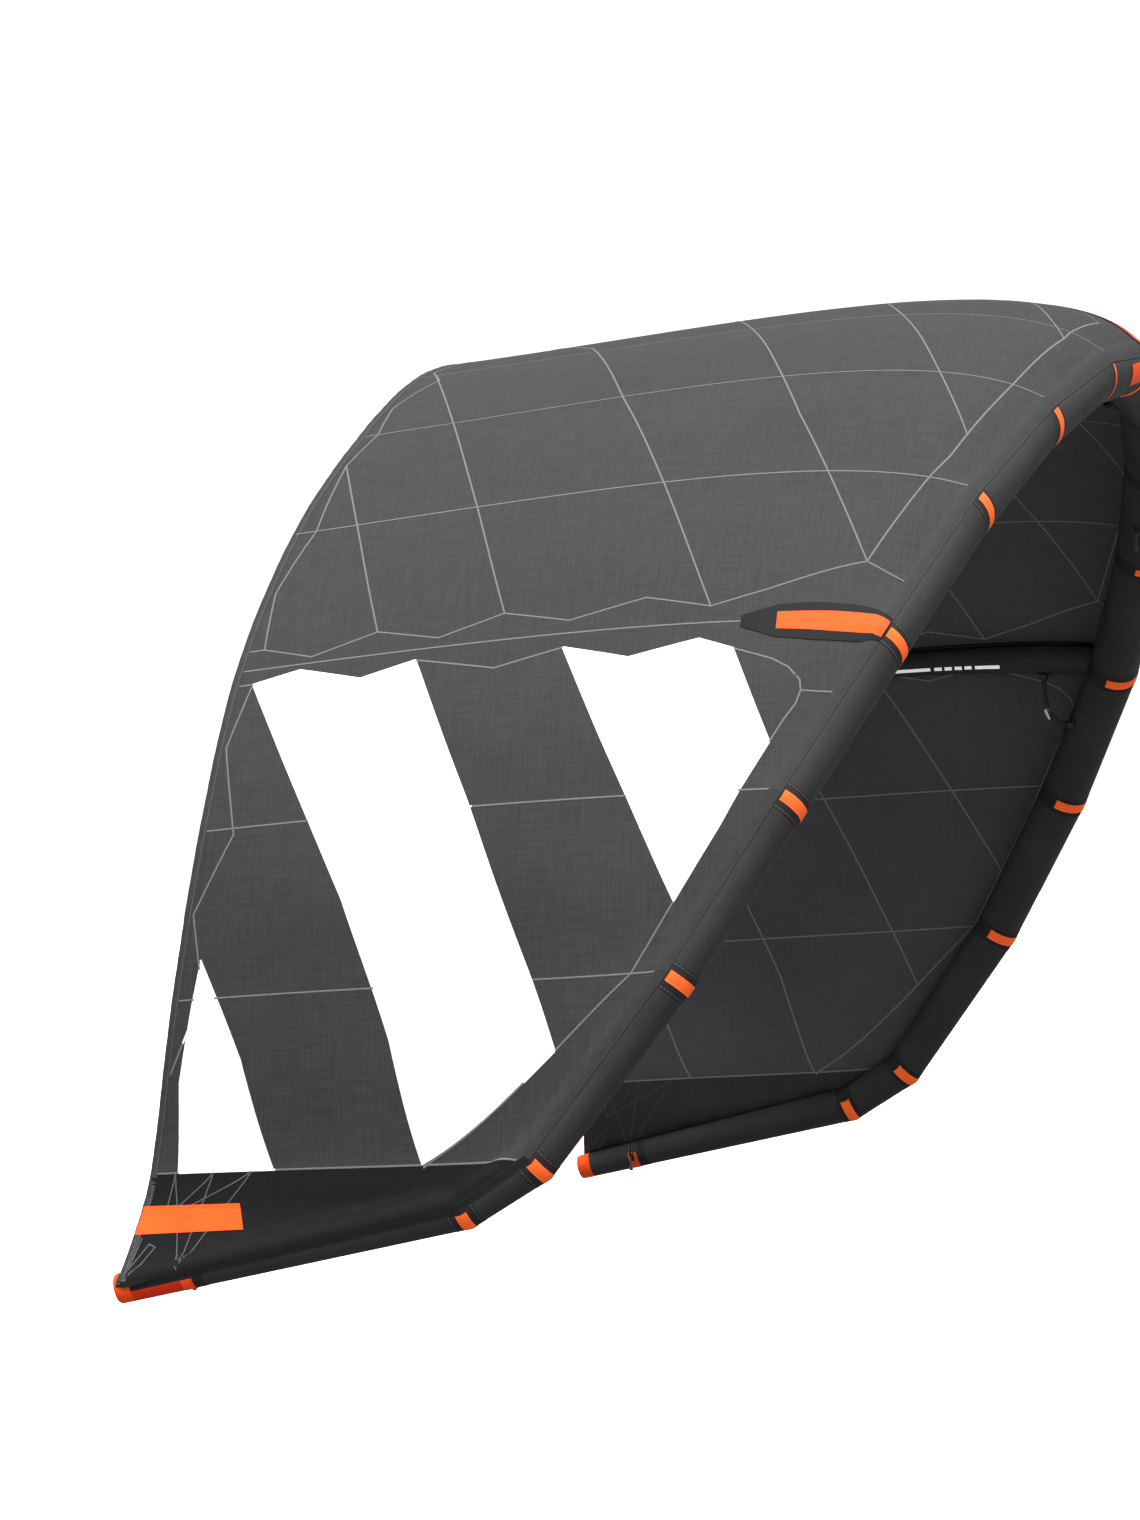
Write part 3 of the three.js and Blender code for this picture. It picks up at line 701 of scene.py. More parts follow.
def polyester(name, colour, rough=0.56, painted_glow=0.0):
    """Heavy woven sailcloth for the tubes: a plain weave, lengthwise streaks and scuffs.
    Its glow setting gives it light of its own colour, though it is no lamp: painted light.
    """
    s = Shader(name)
    x, y = s.uv()
    weave = s.math("ADD", *(s.lines(a, YARN, YARN * 0.3) for a in (x, y)))
    streaks = s.stretched(x, y, 130.0, 5.0)
    s.bump(s.stretched(x, y, 16.0, 1.6), 12.0 * MM, 0.35)
    patchy = s.noise(s.vector(x, y), 5.0, 5.0, 0.6)
    shade = s.remap(streaks, 0.35, 0.65, 0.95, 1.05)
    shade = s.math("MULTIPLY", shade, s.remap(patchy, 0.3, 0.7, 0.88, 1.12))
    scuffs = s.remap(s.noise(s.vector(x, y), 60.0, 6.0, 0.7), 0.66, 0.74, 0.0, 0.35)
    shade = s.math("ADD", shade, scuffs)
    s.bump(s.noise(s.vector(x, y), 22.0, 4.0, 0.6), 3.0 * MM, 0.35)
    s.bump(weave, 0.12 * MM, 0.5)
    worn = s.remap(patchy, 0.3, 0.7, rough - 0.06, rough + 0.1)
    # Any glow is painted light: the cloth gives off light of its own colour.
    return s.finish(s.scaled(colour, shade), worn, specular_ior_level=SAILCLOTH_MIRROR,
                    emission_color=colour, emission_strength=painted_glow)


TAPE_RIB = 1.6 * MM
THREAD = 0.5 * MM


def stitched(name, colour, thread, row, stitch=5 * MM, gap=2 * MM, painted_glow=0.0):
    """Sewn tape. Its uv runs along it, and across it from its middle line; row is the
    distance of its stitch lines from that line. Its glow setting gives it light of its own
    colour, though it is no lamp: painted light."""
    s = Shader(name)
    x, y = s.uv()
    away = s.math("ABSOLUTE", y)
    pulse = s.remap(s.math("PINGPONG", x, (stitch + gap) / 2), gap / 2, gap / 2 + THREAD)
    near = s.math("ABSOLUTE", s.math("SUBTRACT", away, row))
    sewn = s.math("MULTIPLY", s.remap(near, THREAD, 2 * THREAD, 1.0, 0.0), pulse)
    ribs = s.lines(s.math("ADD", x, y), TAPE_RIB, TAPE_RIB * 0.35)
    patchy = s.noise(s.vector(x, y), 30.0, 4.0, 0.6)
    shade = s.remap(patchy, 0.3, 0.7, 0.9, 1.08)
    shade = s.math("ADD", shade, s.math("MULTIPLY", ribs, 0.05))
    s.bump(patchy, 1.0 * MM, 0.25)
    s.bump(ribs, 0.15 * MM, 0.5)
    s.bump(sewn, 0.5 * MM, 0.8)
    base = s.blend(sewn, s.scaled(colour, shade), thread)
    # Any glow is painted light: the tape gives off light of its own colour.
    return s.finish(base, s.remap(patchy, 0.3, 0.7, 0.52, 0.68), emission_color=colour,
                    specular_ior_level=CLOTH_MIRROR, emission_strength=painted_glow)


def moulded(name, colour, rough=0.42, grain=900.0):
    """Moulded plastic or rubber: a fine spark texture, faint flow lines and handling marks."""
    s = Shader(name)
    p = s.place()
    fine = s.noise(p, grain, 3.0)
    broad = s.noise(p, 60.0, 4.0, 0.6)
    shade = s.math("MULTIPLY", s.remap(broad, 0.3, 0.7, 0.88, 1.1),
                   s.remap(fine, 0.3, 0.7, 0.95, 1.05))
    s.bump(fine, 0.3 * MM, 0.3)
    s.bump(broad, 0.4 * MM, 0.2)
    return s.finish(s.scaled(colour, shade), s.remap(broad, 0.3, 0.7, rough - 0.1, rough + 0.12),
                    specular_ior_level=PLASTIC_MIRROR)


def film(name, colour):
    """Clear-milky bladder film with soft folds, darker in the hollows of the folds as painted
    shade.
    """
    s = Shader(name)
    p = s.place()
    folds = s.noise(p, 14.0, 5.0, 0.65)
    s.bump(folds, 3 * MM, 0.6)
    # The film is darker where the fold bumps sink: painted shade in the folds.
    shade = s.remap(folds, 0.3, 0.7, 0.85, 1.05)
    return s.finish(s.scaled(colour, shade), s.remap(folds, 0.3, 0.7, 0.18, 0.34),
                    subsurface_weight=0.2, specular_ior_level=0.5)


def braid(name, colour, fleck):
    """Braided line: crossed strands with darker flecks between them."""
    s = Shader(name)
    x, y = s.uv()
    gaps = s.math("MAXIMUM", *(s.lines(s.math(way, x, y), 2.2 * MM, 0.6 * MM)
                               for way in ("ADD", "SUBTRACT")))
    fuzz = s.noise(s.place(), 1500.0, 3.0)
    s.bump(s.math("SUBTRACT", 1.0, gaps), 0.3 * MM, 0.8)
    s.bump(fuzz, 0.15 * MM, 0.4)
    strands = s.scaled(colour, s.remap(fuzz, 0.3, 0.7, 0.85, 1.1))
    return s.finish(s.blend(s.math("MULTIPLY", gaps, 0.6), strands, fleck), 0.78,
                    sheen_weight=0.3)


GREY = tone(52, 52, 52)
WHITE = tone(246, 246, 244)
ORANGE = tone(250, 84, 28)
BAND_ORANGE = tone(255, 104, 46)
RED_ORANGE = tone(212, 48, 14)
LIGHT_THREAD = tone(150, 150, 148)
DIM_THREAD = tone(92, 92, 94)
TAPE_GREY = tone(42, 42, 42)
TAPE_THREAD = tone(92, 92, 91)
BAND_THREAD = tone(255, 130, 62)

RIPSTOP = woven("ripstop_grey", GREY)
RIPSTOP_WHITE = woven("ripstop_white", WHITE, streak=0.02, crumple=0.5)
# The inner face is a lighter copy of the outer grey cloth: painted fill light for the shaded
# inside of the canopy.
RIPSTOP_INSIDE_LIT = woven("ripstop_inside_painted_light", tone(76, 76, 80), streak=0.09)
RIPSTOP_MIDDLE = woven("ripstop_middle", tone(50, 50, 50), streak=0.1)
RIPSTOP_TIP = woven("ripstop_tip", tone(20, 20, 21), streak=0.09)
# The tip's inner face is a lighter copy of the dark tip cloth: painted fill light for the shaded
# inside.
RIPSTOP_TIP_INSIDE_LIT = woven("ripstop_tip_inside_painted_light", tone(56, 56, 58), streak=0.09)
DACRON = polyester("dacron_black", tone(54, 54, 54))
DACRON_STRUT = polyester("dacron_strut", tone(54, 54, 57))
DACRON_PATCH = polyester("dacron_patch", tone(26, 26, 27))
DACRON_RED = polyester("dacron_red_orange", RED_ORANGE)
DACRON_ORANGE = polyester("dacron_orange", ORANGE)
PRINT_ORANGE = polyester("print_orange", ORANGE, rough=0.5)
# The white dashes glow a little: painted light that keeps them white in shade.
PRINT_WHITE_GLOWING = polyester("print_white_painted_glow", WHITE, painted_glow=0.35)
SEAM_OUTSIDE = stitched("seam_outside", tone(92, 92, 91), tone(120, 120, 118), 0.0, gap=MM)
SEAM_WHITE = stitched("seam_white", WHITE, tone(226, 226, 224), 0.0, gap=MM)
# The inner seams are a lighter copy of the outer seams: painted fill light for the shaded inside.
SEAM_INSIDE_LIT = stitched("seam_inside_painted_light", tone(112, 112, 115), tone(140, 140, 142), 0.0)
TOPSTITCH = stitched("topstitch", tone(60, 60, 62), tone(92, 92, 92), 0.0, gap=MM)
TAPE_BLACK = stitched("tape_black", TAPE_GREY, TAPE_THREAD, 27 * MM, stitch=7 * MM)
TAPE_NARROW = stitched("tape_narrow", TAPE_GREY, TAPE_THREAD, 9 * MM)
# The orange bands glow a little: painted light that keeps them bright in shade.
TAPE_ORANGE_GLOWING = stitched("tape_orange_painted_glow", BAND_ORANGE, BAND_THREAD, 10.4 * MM, painted_glow=0.14)
TAPE_THIN_GLOWING = stitched("tape_thin_painted_glow", BAND_ORANGE, BAND_THREAD, 2.5 * MM, painted_glow=0.14)
HEM = stitched("hem", tone(54, 54, 55), tone(78, 78, 78), 5 * MM)
HEM_FRONT = stitched("front_hem", GREY, tone(76, 76, 76), 21 * MM)
HEM_TIP = stitched("front_hem_tip", tone(30, 30, 31), tone(62, 62, 62), 21 * MM)
CLOSING = stitched("closing_seam", tone(44, 44, 45), tone(66, 66, 67), 2.5 * MM)
FLANGE = stitched("strut_flange", tone(30, 30, 32), DIM_THREAD, 5 * MM)
ROUND_PATCH = stitched("round_patch", tone(40, 40, 41), LIGHT_THREAD, 0.5 * MM)
WEBBING = stitched("webbing", tone(26, 26, 27), LIGHT_THREAD, 4 * MM)
PLASTIC = moulded("plastic_black", tone(24, 24, 26))
PLASTIC_CAP = moulded("plastic_cap", tone(32, 32, 35), rough=0.5)
PLASTIC_GREY = moulded("plastic_grey", tone(70, 70, 74), rough=0.35)
LEVER = moulded("plastic_lever", tone(228, 228, 224), rough=0.38)
RUBBER = moulded("rubber_hose", tone(22, 22, 24), rough=0.5, grain=500.0)
BLADDER = film("bladder_film", tone(217, 220, 221))
ROPE = braid("pigtail_braid", tone(30, 30, 33), tone(78, 78, 80))

# ------------------------------------------------------------------ the canopy's pattern

# Seams of one wing, as corner places; the other wing has them mirrored.
UPPER_ZIGZAG = [(3.62, 0.11), (3.81, 0.26), (3.90, 0.34), (3.82, 0.45), (3.92, 0.55),
                (3.83, 0.65), (3.94, 0.73), (3.85, 0.82), (3.96, 0.90), (3.87, 0.97)]
LOWER_ZIGZAG = [(4.17, 0.26), (4.10, 0.33), (4.19, 0.43), (4.09, 0.54), (4.18, 0.63),
                (4.07, 0.75), (4.15, 0.82), (4.04, 0.91), (4.10, 0.97)]
LOWER_CORNER = [(4.59, 0.08), (4.50, 0.075), (4.42, 0.082), (4.36, 0.098), (4.29, 0.136),
                (4.24, 0.177), (4.17, 0.26)]
CENTRE_ZIGZAG = [(0.43, 0.10), (0.31, 0.15), (0.37, 0.25), (0.29, 0.36), (0.37, 0.46),
                 (0.28, 0.57), (0.36, 0.67), (0.27, 0.78), (0.34, 0.88), (0.28, 0.97)]
FRONT_BORDER = [(0.43, 0.10), (1.15, 0.10), (2.0, 0.09), (2.8, 0.09), (3.62, 0.11)]
LOWER_BORDER = [(4.59, 0.08), (5.2, 0.08), (6.0, 0.08), (6.37, 0.16), (7.05, 0.32)]
REAR_BORDER = [(3.87, 0.97), (3.47, 0.985), (3.0, 0.97), (2.36, 0.985), (2.0, 0.975),
               (1.62, 0.985), (1.17, 0.96), (0.9, 0.985), (0.28, 0.97)]
LOWER_REAR_BORDER = [(4.10, 0.97), (4.5, 0.985), (5.04, 0.945), (5.5, 0.985), (5.99, 0.945),
                     (6.4, 0.985)]
SEAM_D = [(4.09, 0.54), (4.66, 0.41), (5.61, 0.08)]
SEAM_E = [(4.07, 0.75), (4.96, 0.59), (6.37, 0.16)]
SEAM_F = [(4.10, 0.97), (5.48, 0.74), (6.28, 0.56), (7.0, 0.33)]
SEAM_G = [(5.77, 0.96), (6.34, 0.85), (7.0, 0.71)]
UPPER_RADIALS = [
    [(0.9, 0.985), (3.83, 0.65)],
    [(0.34, 0.88), (0.83, 0.80), (2.04, 0.67), (3.90, 0.34)],
    [(0.35, 0.66), (2.49, 0.39), (3.62, 0.11)],
    [(0.37, 0.46), (0.58, 0.45), (1.40, 0.34), (2.59, 0.09)],
    [(2.36, 0.985), (3.85, 0.82)],
    [(0.37, 0.25), (1.15, 0.10)],
]
FRONT_LINKS = [[(3.62, 0.11), (3.71, 0.0)], [(4.42, 0.082), (4.42, 0.0)]]
REAR_LINKS = [[(3.87, 0.97), (3.87, 1.0)], [(4.10, 0.97), (4.10, 1.0)], [(4.0, 0.27), (4.0, 1.0)]]
CHORD_SEAMS = [1, 2, 3, 5, 6, 7]
WING_SEAMS = [
    UPPER_ZIGZAG, LOWER_ZIGZAG, LOWER_CORNER, CENTRE_ZIGZAG, FRONT_BORDER, LOWER_BORDER,
    REAR_BORDER, LOWER_REAR_BORDER, SEAM_D, SEAM_E, SEAM_F, SEAM_G, *UPPER_RADIALS,
    *FRONT_LINKS, *REAR_LINKS,
]

# The white panels of one wing.
WHITE_STRIPES = [
    [*LOWER_ZIGZAG[5:], *SEAM_F[1:], (6.37, 0.16), *SEAM_E[1:2]],
    [*LOWER_ZIGZAG[:4], SEAM_D[1], SEAM_D[2], (5.2, 0.08), (4.72, 0.08)],
    [*SEAM_G, (7.0, 0.935), (6.44, 0.965)],
]

# Fan and arrow topstitching at the tips. The fan starts from TIP_SPREAD's shares of the
# chord on the last seam, and runs to one rear place and to the feet near the tube.
TIP_SEAM = 7.02
TIP_SPREAD = [0.94, 0.85, 0.76]
TIP_FAN = (8.12, 0.92)
TIP_FOOT = [(8.74, 0.41), (8.75, 0.37), (8.76, 0.33)]
TIP_ARROW = [(8.37, 0.985), (8.90, 0.84), (8.90, 0.76), (8.47, 0.87), (8.43, 0.91),
             (8.74, 0.93), (8.35, 0.96)]
TIP_PATCH = [(7.85, 0.995), (7.80, 0.74), (8.24, 0.62), (8.31, 0.995)]

SEAM_HALF = 2.0 * MM
STITCH_HALF = 1.6 * MM
PROUD = 0.15 * MM
TAPE_THICK = 0.5 * MM
# How far seam tapes stand off the outer and the inner face.
OUTER_SEAM = (CLOTH_THICK + PROUD, CLOTH_THICK + TAPE_THICK)
INNER_SEAM = (-TAPE_THICK, -PROUD)
HEM_WIDTH = 15 * MM
# How far behind its front edge the cloth's mesh has lines, for its bend over the tube.
FOLD_REACH = np.array([8, 18, 28, 38, 48, 59, 70, 82, 94, 107, 120, 135, 150]) * MM
CANOPY_CELL = 0.024


def flat_row(u, v):
    """Flat points from stations and shares of the chord, either of which may be one value."""
    return flat(np.stack(np.broadcast_arrays(u, v), axis=-1))


def all_seams():
    """Every seam of both wings, as flat paths."""
    chord = np.linspace(0.004, 0.996, 110)
    lines = [flat_row(side * k, chord) for side in SIDES.values() for k in CHORD_SEAMS]
    return lines + [path(wing(corners, side)) for side in SIDES.values() for corners in WING_SEAMS]


def canopy_outline():
    """The canopy's whole flat outline, along the front and back along the rear."""
    places = np.linspace(-CLOTH_TIP, CLOTH_TIP, 420)
    return np.concatenate([flat_row(places, 0.0), flat_row(places, 1.0)[::-1]])


def chord_length(u):
    """The straight distance from the front edge to the trailing edge."""
    return np.linalg.norm(bare_cloth(u, 1.0) - bare_cloth(u, 0.0), axis=-1)


def fold_lines():
    """Mesh lines close behind the tube, where the cloth wraps over it."""
    u = np.linspace(0, CLOTH_TIP - 0.05, 150)
    return [flat_row(u * side, np.minimum(reach / chord_length(u), 0.9))
            for reach in FOLD_REACH for side in SIDES.values()]


def tip_lines(side):
    """The fan and arrow stitching of one tip, as flat paths."""
    lines = [[(TIP_SEAM, share), end] for share, foot in zip(TIP_SPREAD, TIP_FOOT)
             for end in (TIP_FAN, foot)]
    return [path(wing(line, side), FINE_STEP) for line in (*lines, TIP_ARROW)]


# The canopy's materials, in the order that its faces count them.
GREY_FACE, WHITE_FACE, INSIDE_LIT_FACE, MIDDLE_FACE, TIP_FACE, TIP_INSIDE_LIT_FACE = range(6)
CANOPY_MATERIALS = [RIPSTOP, RIPSTOP_WHITE, RIPSTOP_INSIDE_LIT, RIPSTOP_MIDDLE, RIPSTOP_TIP,
                    RIPSTOP_TIP_INSIDE_LIT]
MIDDLE_END = AROUND[1]
TIP_START = AROUND[7]


def add_canopy():
    """The whole canopy: one curved sheet, its panels told apart by material."""
    seams = all_seams()
    stripes = [closed_path(stripe, side) for side in SIDES.values() for stripe in WHITE_STRIPES]
    lines = seams + [np.concatenate([s, s[:1]]) for s in stripes]
    lines += fold_lines() + tip_lines(LEFT) + tip_lines(RIGHT)
    part, middles = cloth_sheet(canopy_outline(), lines, 0, CLOTH_THICK, CANOPY_CELL)
    away = np.abs(middles[:, 0])
    outer = np.select([away < MIDDLE_END, away > TIP_START], [MIDDLE_FACE, TIP_FACE], GREY_FACE)
    for s in stripes:
        outer[inside(s, middles)] = WHITE_FACE
    # The inner face takes the lightened copies: painted fill light.
    inner = np.where(away > TIP_START, TIP_INSIDE_LIT_FACE, INSIDE_LIT_FACE)
    rim = np.full(len(part[1]) - 2 * len(middles), MIDDLE_FACE)
    canopy = add_piece("canopy_cloth", part, CANOPY_MATERIALS, "canopy",
                       indices=np.concatenate([outer, inner, rim]))
    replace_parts(canopy, "canopy_centre", "canopy_left", "canopy_right")
    outside, white = [], []
    for p in seams:
        outside.append(ribbon(p, SEAM_HALF, *OUTER_SEAM))
        white += white_faces(p, outside[-1], stripes)
    add_piece("canopy_seams_outside", joined(outside), [SEAM_OUTSIDE, SEAM_WHITE], "canopy",
              indices=white)
    inner = [ribbon(p, SEAM_HALF, *INNER_SEAM) for p in seams]
    add_piece("canopy_seams_inside", joined(inner), SEAM_INSIDE_LIT, "canopy")


def white_faces(points, part, stripes):
    """For each face of a seam, 1 if it lies on a white panel, else 0."""
    centres = (points[1:] + points[:-1]) / 2
    on_white = np.any([near_polygon(centres, s, SEAM_HALF / 2) for s in stripes], axis=0)
    starts = [np.mean([x for x, _ in corner]) for corner in part[2]]
    rows = np.searchsorted(run_lengths(points), starts) - 1
    return on_white[np.clip(rows, 0, len(on_white) - 1)].astype(int).tolist()


def add_tip_stitching(name, side):
    """The topstitching of one tip, on both faces of the cloth."""
    lines = tip_lines(side)
    outside = [ribbon(p, STITCH_HALF, CLOTH_THICK + PROUD, CLOTH_THICK + 5 * PROUD)
               for p in lines]
    inner = [ribbon(p, STITCH_HALF, -3 * PROUD, -PROUD) for p in lines]
    add_piece(f"tip_stitching_{name}", joined(outside + inner), TOPSTITCH, "canopy")


def add_tip_patch(name, side):
    """A plain orange patch on the outer face, over the rear hem."""
    low = CLOTH_THICK + 0.8 * MM
    outline = closed_path(TIP_PATCH, side, FINE_STEP)
    part, _ = cloth_sheet(outline, [], low, low + TAPE_THICK, 0.014)
    add_piece(f"tip_patch_{name}", part, PRINT_ORANGE, "band")


# A reinforcement over each strut's root: its half width in metres against the share of the
# chord, its inner and outer lift, and where it ends on the tube, as an angle in front of the
# line where the cloth leaves it and a half width. The strip is the orange one along its middle.
PATCH = {"shape": [(0.0, 0.037), (0.05, 0.044), (0.14, 0.046), (0.212, 0.040), (0.275, 0.014)],
         "lifts": (2.15 * MM, 2.5 * MM), "foot": (17.5, 0.029)}
STRIP = {"shape": [(0.0, 0.0235), (0.1, 0.0245), (0.212, 0.0205)],
         "lifts": (2.6 * MM, 2.95 * MM), "foot": (15.0, 0.021)}
DRAPE_SINK = 1.0 * MM
DRAPE_FRONT = 0.011


def draped(station, shape, lifts, foot):
    """Cloth sewn over a strut's root and down over the tube."""
    shares = np.linspace(shape[-1][0], DRAPE_FRONT, 26)
    half = np.interp(shares, *zip(*shape))[:, None]
    across = np.linspace(-1, 1, 9)
    spine = flat_row(station, shares)
    spots = spine[:, None, :] + np.stack([half * across, 0 * half * across], -1)
    u, v = lifted(spots.reshape(-1, 2)).T
    root = shape[0][1]

    def place(lift):
        rows = list(cloth(u, v, lift).reshape(len(shares), len(across), 3))
        for down in np.linspace(0.1, 1, 6):
            height = lift + CLOTH_GAP - DRAPE_SINK * down
            angle = np.array([leave_angle(station) + foot[0] * down])
            wide = root + (foot[1] - root) * down
            rows.append([by_mitre(station, wide * a + 1e-6, angle, height)[0] for a in across])
        return np.array(rows)

    along = run_lengths(place(lifts[0])[:, len(across) // 2])
    return layered(place, lifts, round_uv(across * root, along))


def add_strut_patch(name, station, side):
    """The black reinforcement over a strut's root, and the orange strip on it."""
    for label, spec, material, slot in (("patch", PATCH, DACRON_PATCH, "canopy"),
                                        ("strip", STRIP, PRINT_ORANGE, "band")):
        part = mirrored(draped(station, **spec), side)
        add_piece(f"strut_{label}_{name}", part, material, slot)


def add_rear_hem():
    """The folded tape that wraps the trailing edge."""
    u = np.linspace(-CLOTH_TIP + 0.02, CLOTH_TIP - 0.02, 360)
    front = 1 - np.minimum(HEM_WIDTH / chord_length(u), 0.5)
    edge = cloth(u, np.ones_like(u), CLOTH_THICK / 2)
    past = unit(edge - cloth(u, front, CLOTH_THICK / 2))
    shares = (front, (front + 1) / 2, np.ones_like(u))

    def place(grow):
        upper = [cloth(u, v, CLOTH_THICK + grow) for v in shares]
        lower = [cloth(u, v, -grow) for v in shares[::-1]]
        turn = edge + past * (grow + 0.5 * MM)
        return np.stack([*upper, turn, *lower], axis=1)

    uv = grid_uv(np.array([8, 2.5, -2, -3, -2, 2.5, 8]) * MM, run_lengths(edge))
    add_piece("rear_hem", layered(place, (PROUD + 0.45 * MM, PROUD), uv), HEM, "canopy")


# ------------------------------------------------------------------ the leading edge

SLEEVE_SIDES = 60
SLEEVE_ANGLES = np.arange(SLEEVE_SIDES) * 360 / SLEEVE_SIDES
SLEEVE_THICK = 1.0 * MM
SEAM_GAP = 0.15 * MM
PINCH = 0.45 * MM
PINCH_REACH = 22 * MM
PUCKER = 1.6 * MM
PUCKERS = 19


def bend_at(station):
    """The way a mitre turns: towards the inner side of the bend."""
    after = FRAMES[min(station, TIP - 1)][0]
    before = -FRAMES[0][0] * FLIP if station == 0 else FRAMES[station - 1][0]
    return after - before


def tube_skin(k, share, angle, lift=0.0):
    """A point on segment k's skin: its share of the way along, and its angle in degrees.
    The skin is drawn in a little at the mitres, and puckers on their inner side."""
    share, angle, lift = np.broadcast_arrays(
        np.asarray(share, float), np.asarray(angle, float), np.asarray(lift, float))
    along, outward, forward = FRAMES[k]
    a = np.radians(angle)[..., None]
    radial = outward * np.cos(a) + forward * np.sin(a)
    low = skin_point(k, k, RADIUS[k] + lift, angle, 0.0)
    high = skin_point(k, k + 1, RADIUS[k + 1] + lift, angle, 0.0)
    point = low + (high - low) * share[..., None]
    for station, far in ((k, share), (k + 1, 1 - share)):
        near = np.exp(-far * SEGMENTS[k][0] / PINCH_REACH)
        squeeze = np.clip(radial @ bend_at(station), 0, None)
        ripple = 0.5 + 0.5 * np.cos(np.radians(angle) * PUCKERS + station)
        sink = near * (PINCH + PUCKER * squeeze * ripple)
        point = point - radial * sink[..., None]
    return point


def by_mitre(station, inset, angle, lift):
    """A point on the skin a distance along the wing from a station's mitre."""
    k = station if inset > 0 else station - 1
    if k < 0:
        return tube_skin(0, -inset / SEGMENTS[0][0], angle, lift) * FLIP
    if 0 < k == station - 1 < TIP - 1:
        away = skin_point(station, station, RADIUS[station], angle, 0.0) - AXIS[station]
        _, outward, forward = FRAMES[k]
        angle = np.degrees(np.arctan2(away @ forward, away @ outward))
    length = SEGMENTS[k][0]
    share = inset / length if inset > 0 else 1 + inset / length
    return tube_skin(k, share, angle, lift)


def add_sleeve(name, side, k):
    """One segment's sleeve. Its rings are closest where it is drawn in at the mitres."""
    length = SEGMENTS[k][0]
    ends = np.array([0, 8, 20, 40, 75]) * MM / length
    shares = np.sort(np.concatenate([ends, np.linspace(0.3, 0.7, 5), 1 - ends]))
    shares[0] += SEAM_GAP / length
    shares[-1] -= SEAM_GAP / length
    round_it = np.linspace(0, 2 * math.pi * RADIUS[k], SLEEVE_SIDES + 1)
    part = layered(lambda lift: tube_skin(k, shares[:, None], SLEEVE_ANGLES, lift),
                   (0, -SLEEVE_THICK), round_uv(round_it, shares * length), side, wrap=True)
    sleeve = add_piece(f"sleeve_{name}_{k + 1}", part, DACRON, "sleeve")
    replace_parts(sleeve, f"le_sleeve_{name}_{k + 1}")


# Half widths of the black seam tape and of the orange band on it, and their lifts.
WIDE_TAPE = 31 * MM
ORANGE_HALF = 12.5 * MM
NARROW_TAPE = 12 * MM
THIN_ORANGE = 4.5 * MM
TAPE_LIFTS = (0.65 * MM, 0.15 * MM)
BAND_LIFTS = (1.4 * MM, 0.8 * MM)
LABEL_LIFTS = (2.1 * MM, 1.6 * MM)
# Angles past the line where the cloth leaves the tube, and angles where tapes end.
HEM_REACH = 17.0
BAND_START = HEM_REACH + 4.5
BAND_END = 190
BAND_STEPS = 40
BAND_STEPS_MIDDLE = 36
TAPE_END = 302
TAPE_BACK = 11
TAPE_TURN = 5.0
MITRE_GAP = 0.6 * MM


def leave_angle(station):
    """The angle at which the cloth leaves the tube at a station."""
    k = min(station, TIP - 1)
    _, outward, forward = FRAMES[k]
    away = bare_cloth(min(station, CLOTH_TIP), 0.0) - AXIS[k]
    return float(np.degrees(np.arctan2(away @ forward, away @ outward)))


def tape_part(station, half, angles, lifts, side=LEFT, steps=4):
    """Tape round the tube over a mitre, from its half width."""
    wide = np.linspace(MITRE_GAP, half, steps)
    insets = np.concatenate([-wide[::-1], wide])
    uv = grid_uv(insets, np.radians(angles) * RADIUS[station])
    return layered(lambda lift: np.stack([by_mitre(station, i, angles, lift) for i in insets],
                                         axis=1), lifts, uv, side)


def add_band(label, side, station):
    """A mitre's black seam tape right round the tube, and the orange band on it."""
    thin = station == 1
    tape, band = (NARROW_TAPE, THIN_ORANGE) if thin else (WIDE_TAPE, ORANGE_HALF)
    start = leave_angle(station)
    part = tape_part(station, tape, np.arange(start - TAPE_BACK, TAPE_END, TAPE_TURN),
                     TAPE_LIFTS, side)
    add_piece(f"mitre_tape_{label}", part, TAPE_NARROW if thin else TAPE_BLACK, "sleeve")
    count = BAND_STEPS if station else BAND_STEPS_MIDDLE
    part = tape_part(station, band, np.linspace(start + BAND_START, BAND_END, count),
                     BAND_LIFTS, side)
    piece = add_piece(f"band_{label}", part, TAPE_THIN_GLOWING if thin else TAPE_ORANGE_GLOWING, "band")
    if not thin:
        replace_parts(piece, f"seam_band_{label}")


CENTRE_LABEL_HALF = 0.235
CENTRE_LABEL = (leave_angle(0) + BAND_START + 1, 122)


def add_centre_label():
    """A plain orange panel on the front of the tube, over the middle mitre."""
    angles = np.linspace(*CENTRE_LABEL, 14)
    part = tape_part(0, CENTRE_LABEL_HALF, angles, LABEL_LIFTS, steps=12)
    add_piece("centre_label", part, PRINT_ORANGE, "band")


COVER_LENGTH = 165 * MM
COVER_END = 104
TIP_BAND = (140 * MM, 163 * MM)
TIP_TAPE = (167 * MM, 187 * MM)
TIP_TAPE_BACK = 24
TIP_TAPE_END = 290
CAP_LENGTH = 31 * MM
CAP_BULGE = 9 * MM
CAP_LIFTS = (1.1 * MM, 0.35 * MM)
TIP_CLOTH = 0.8 * MM


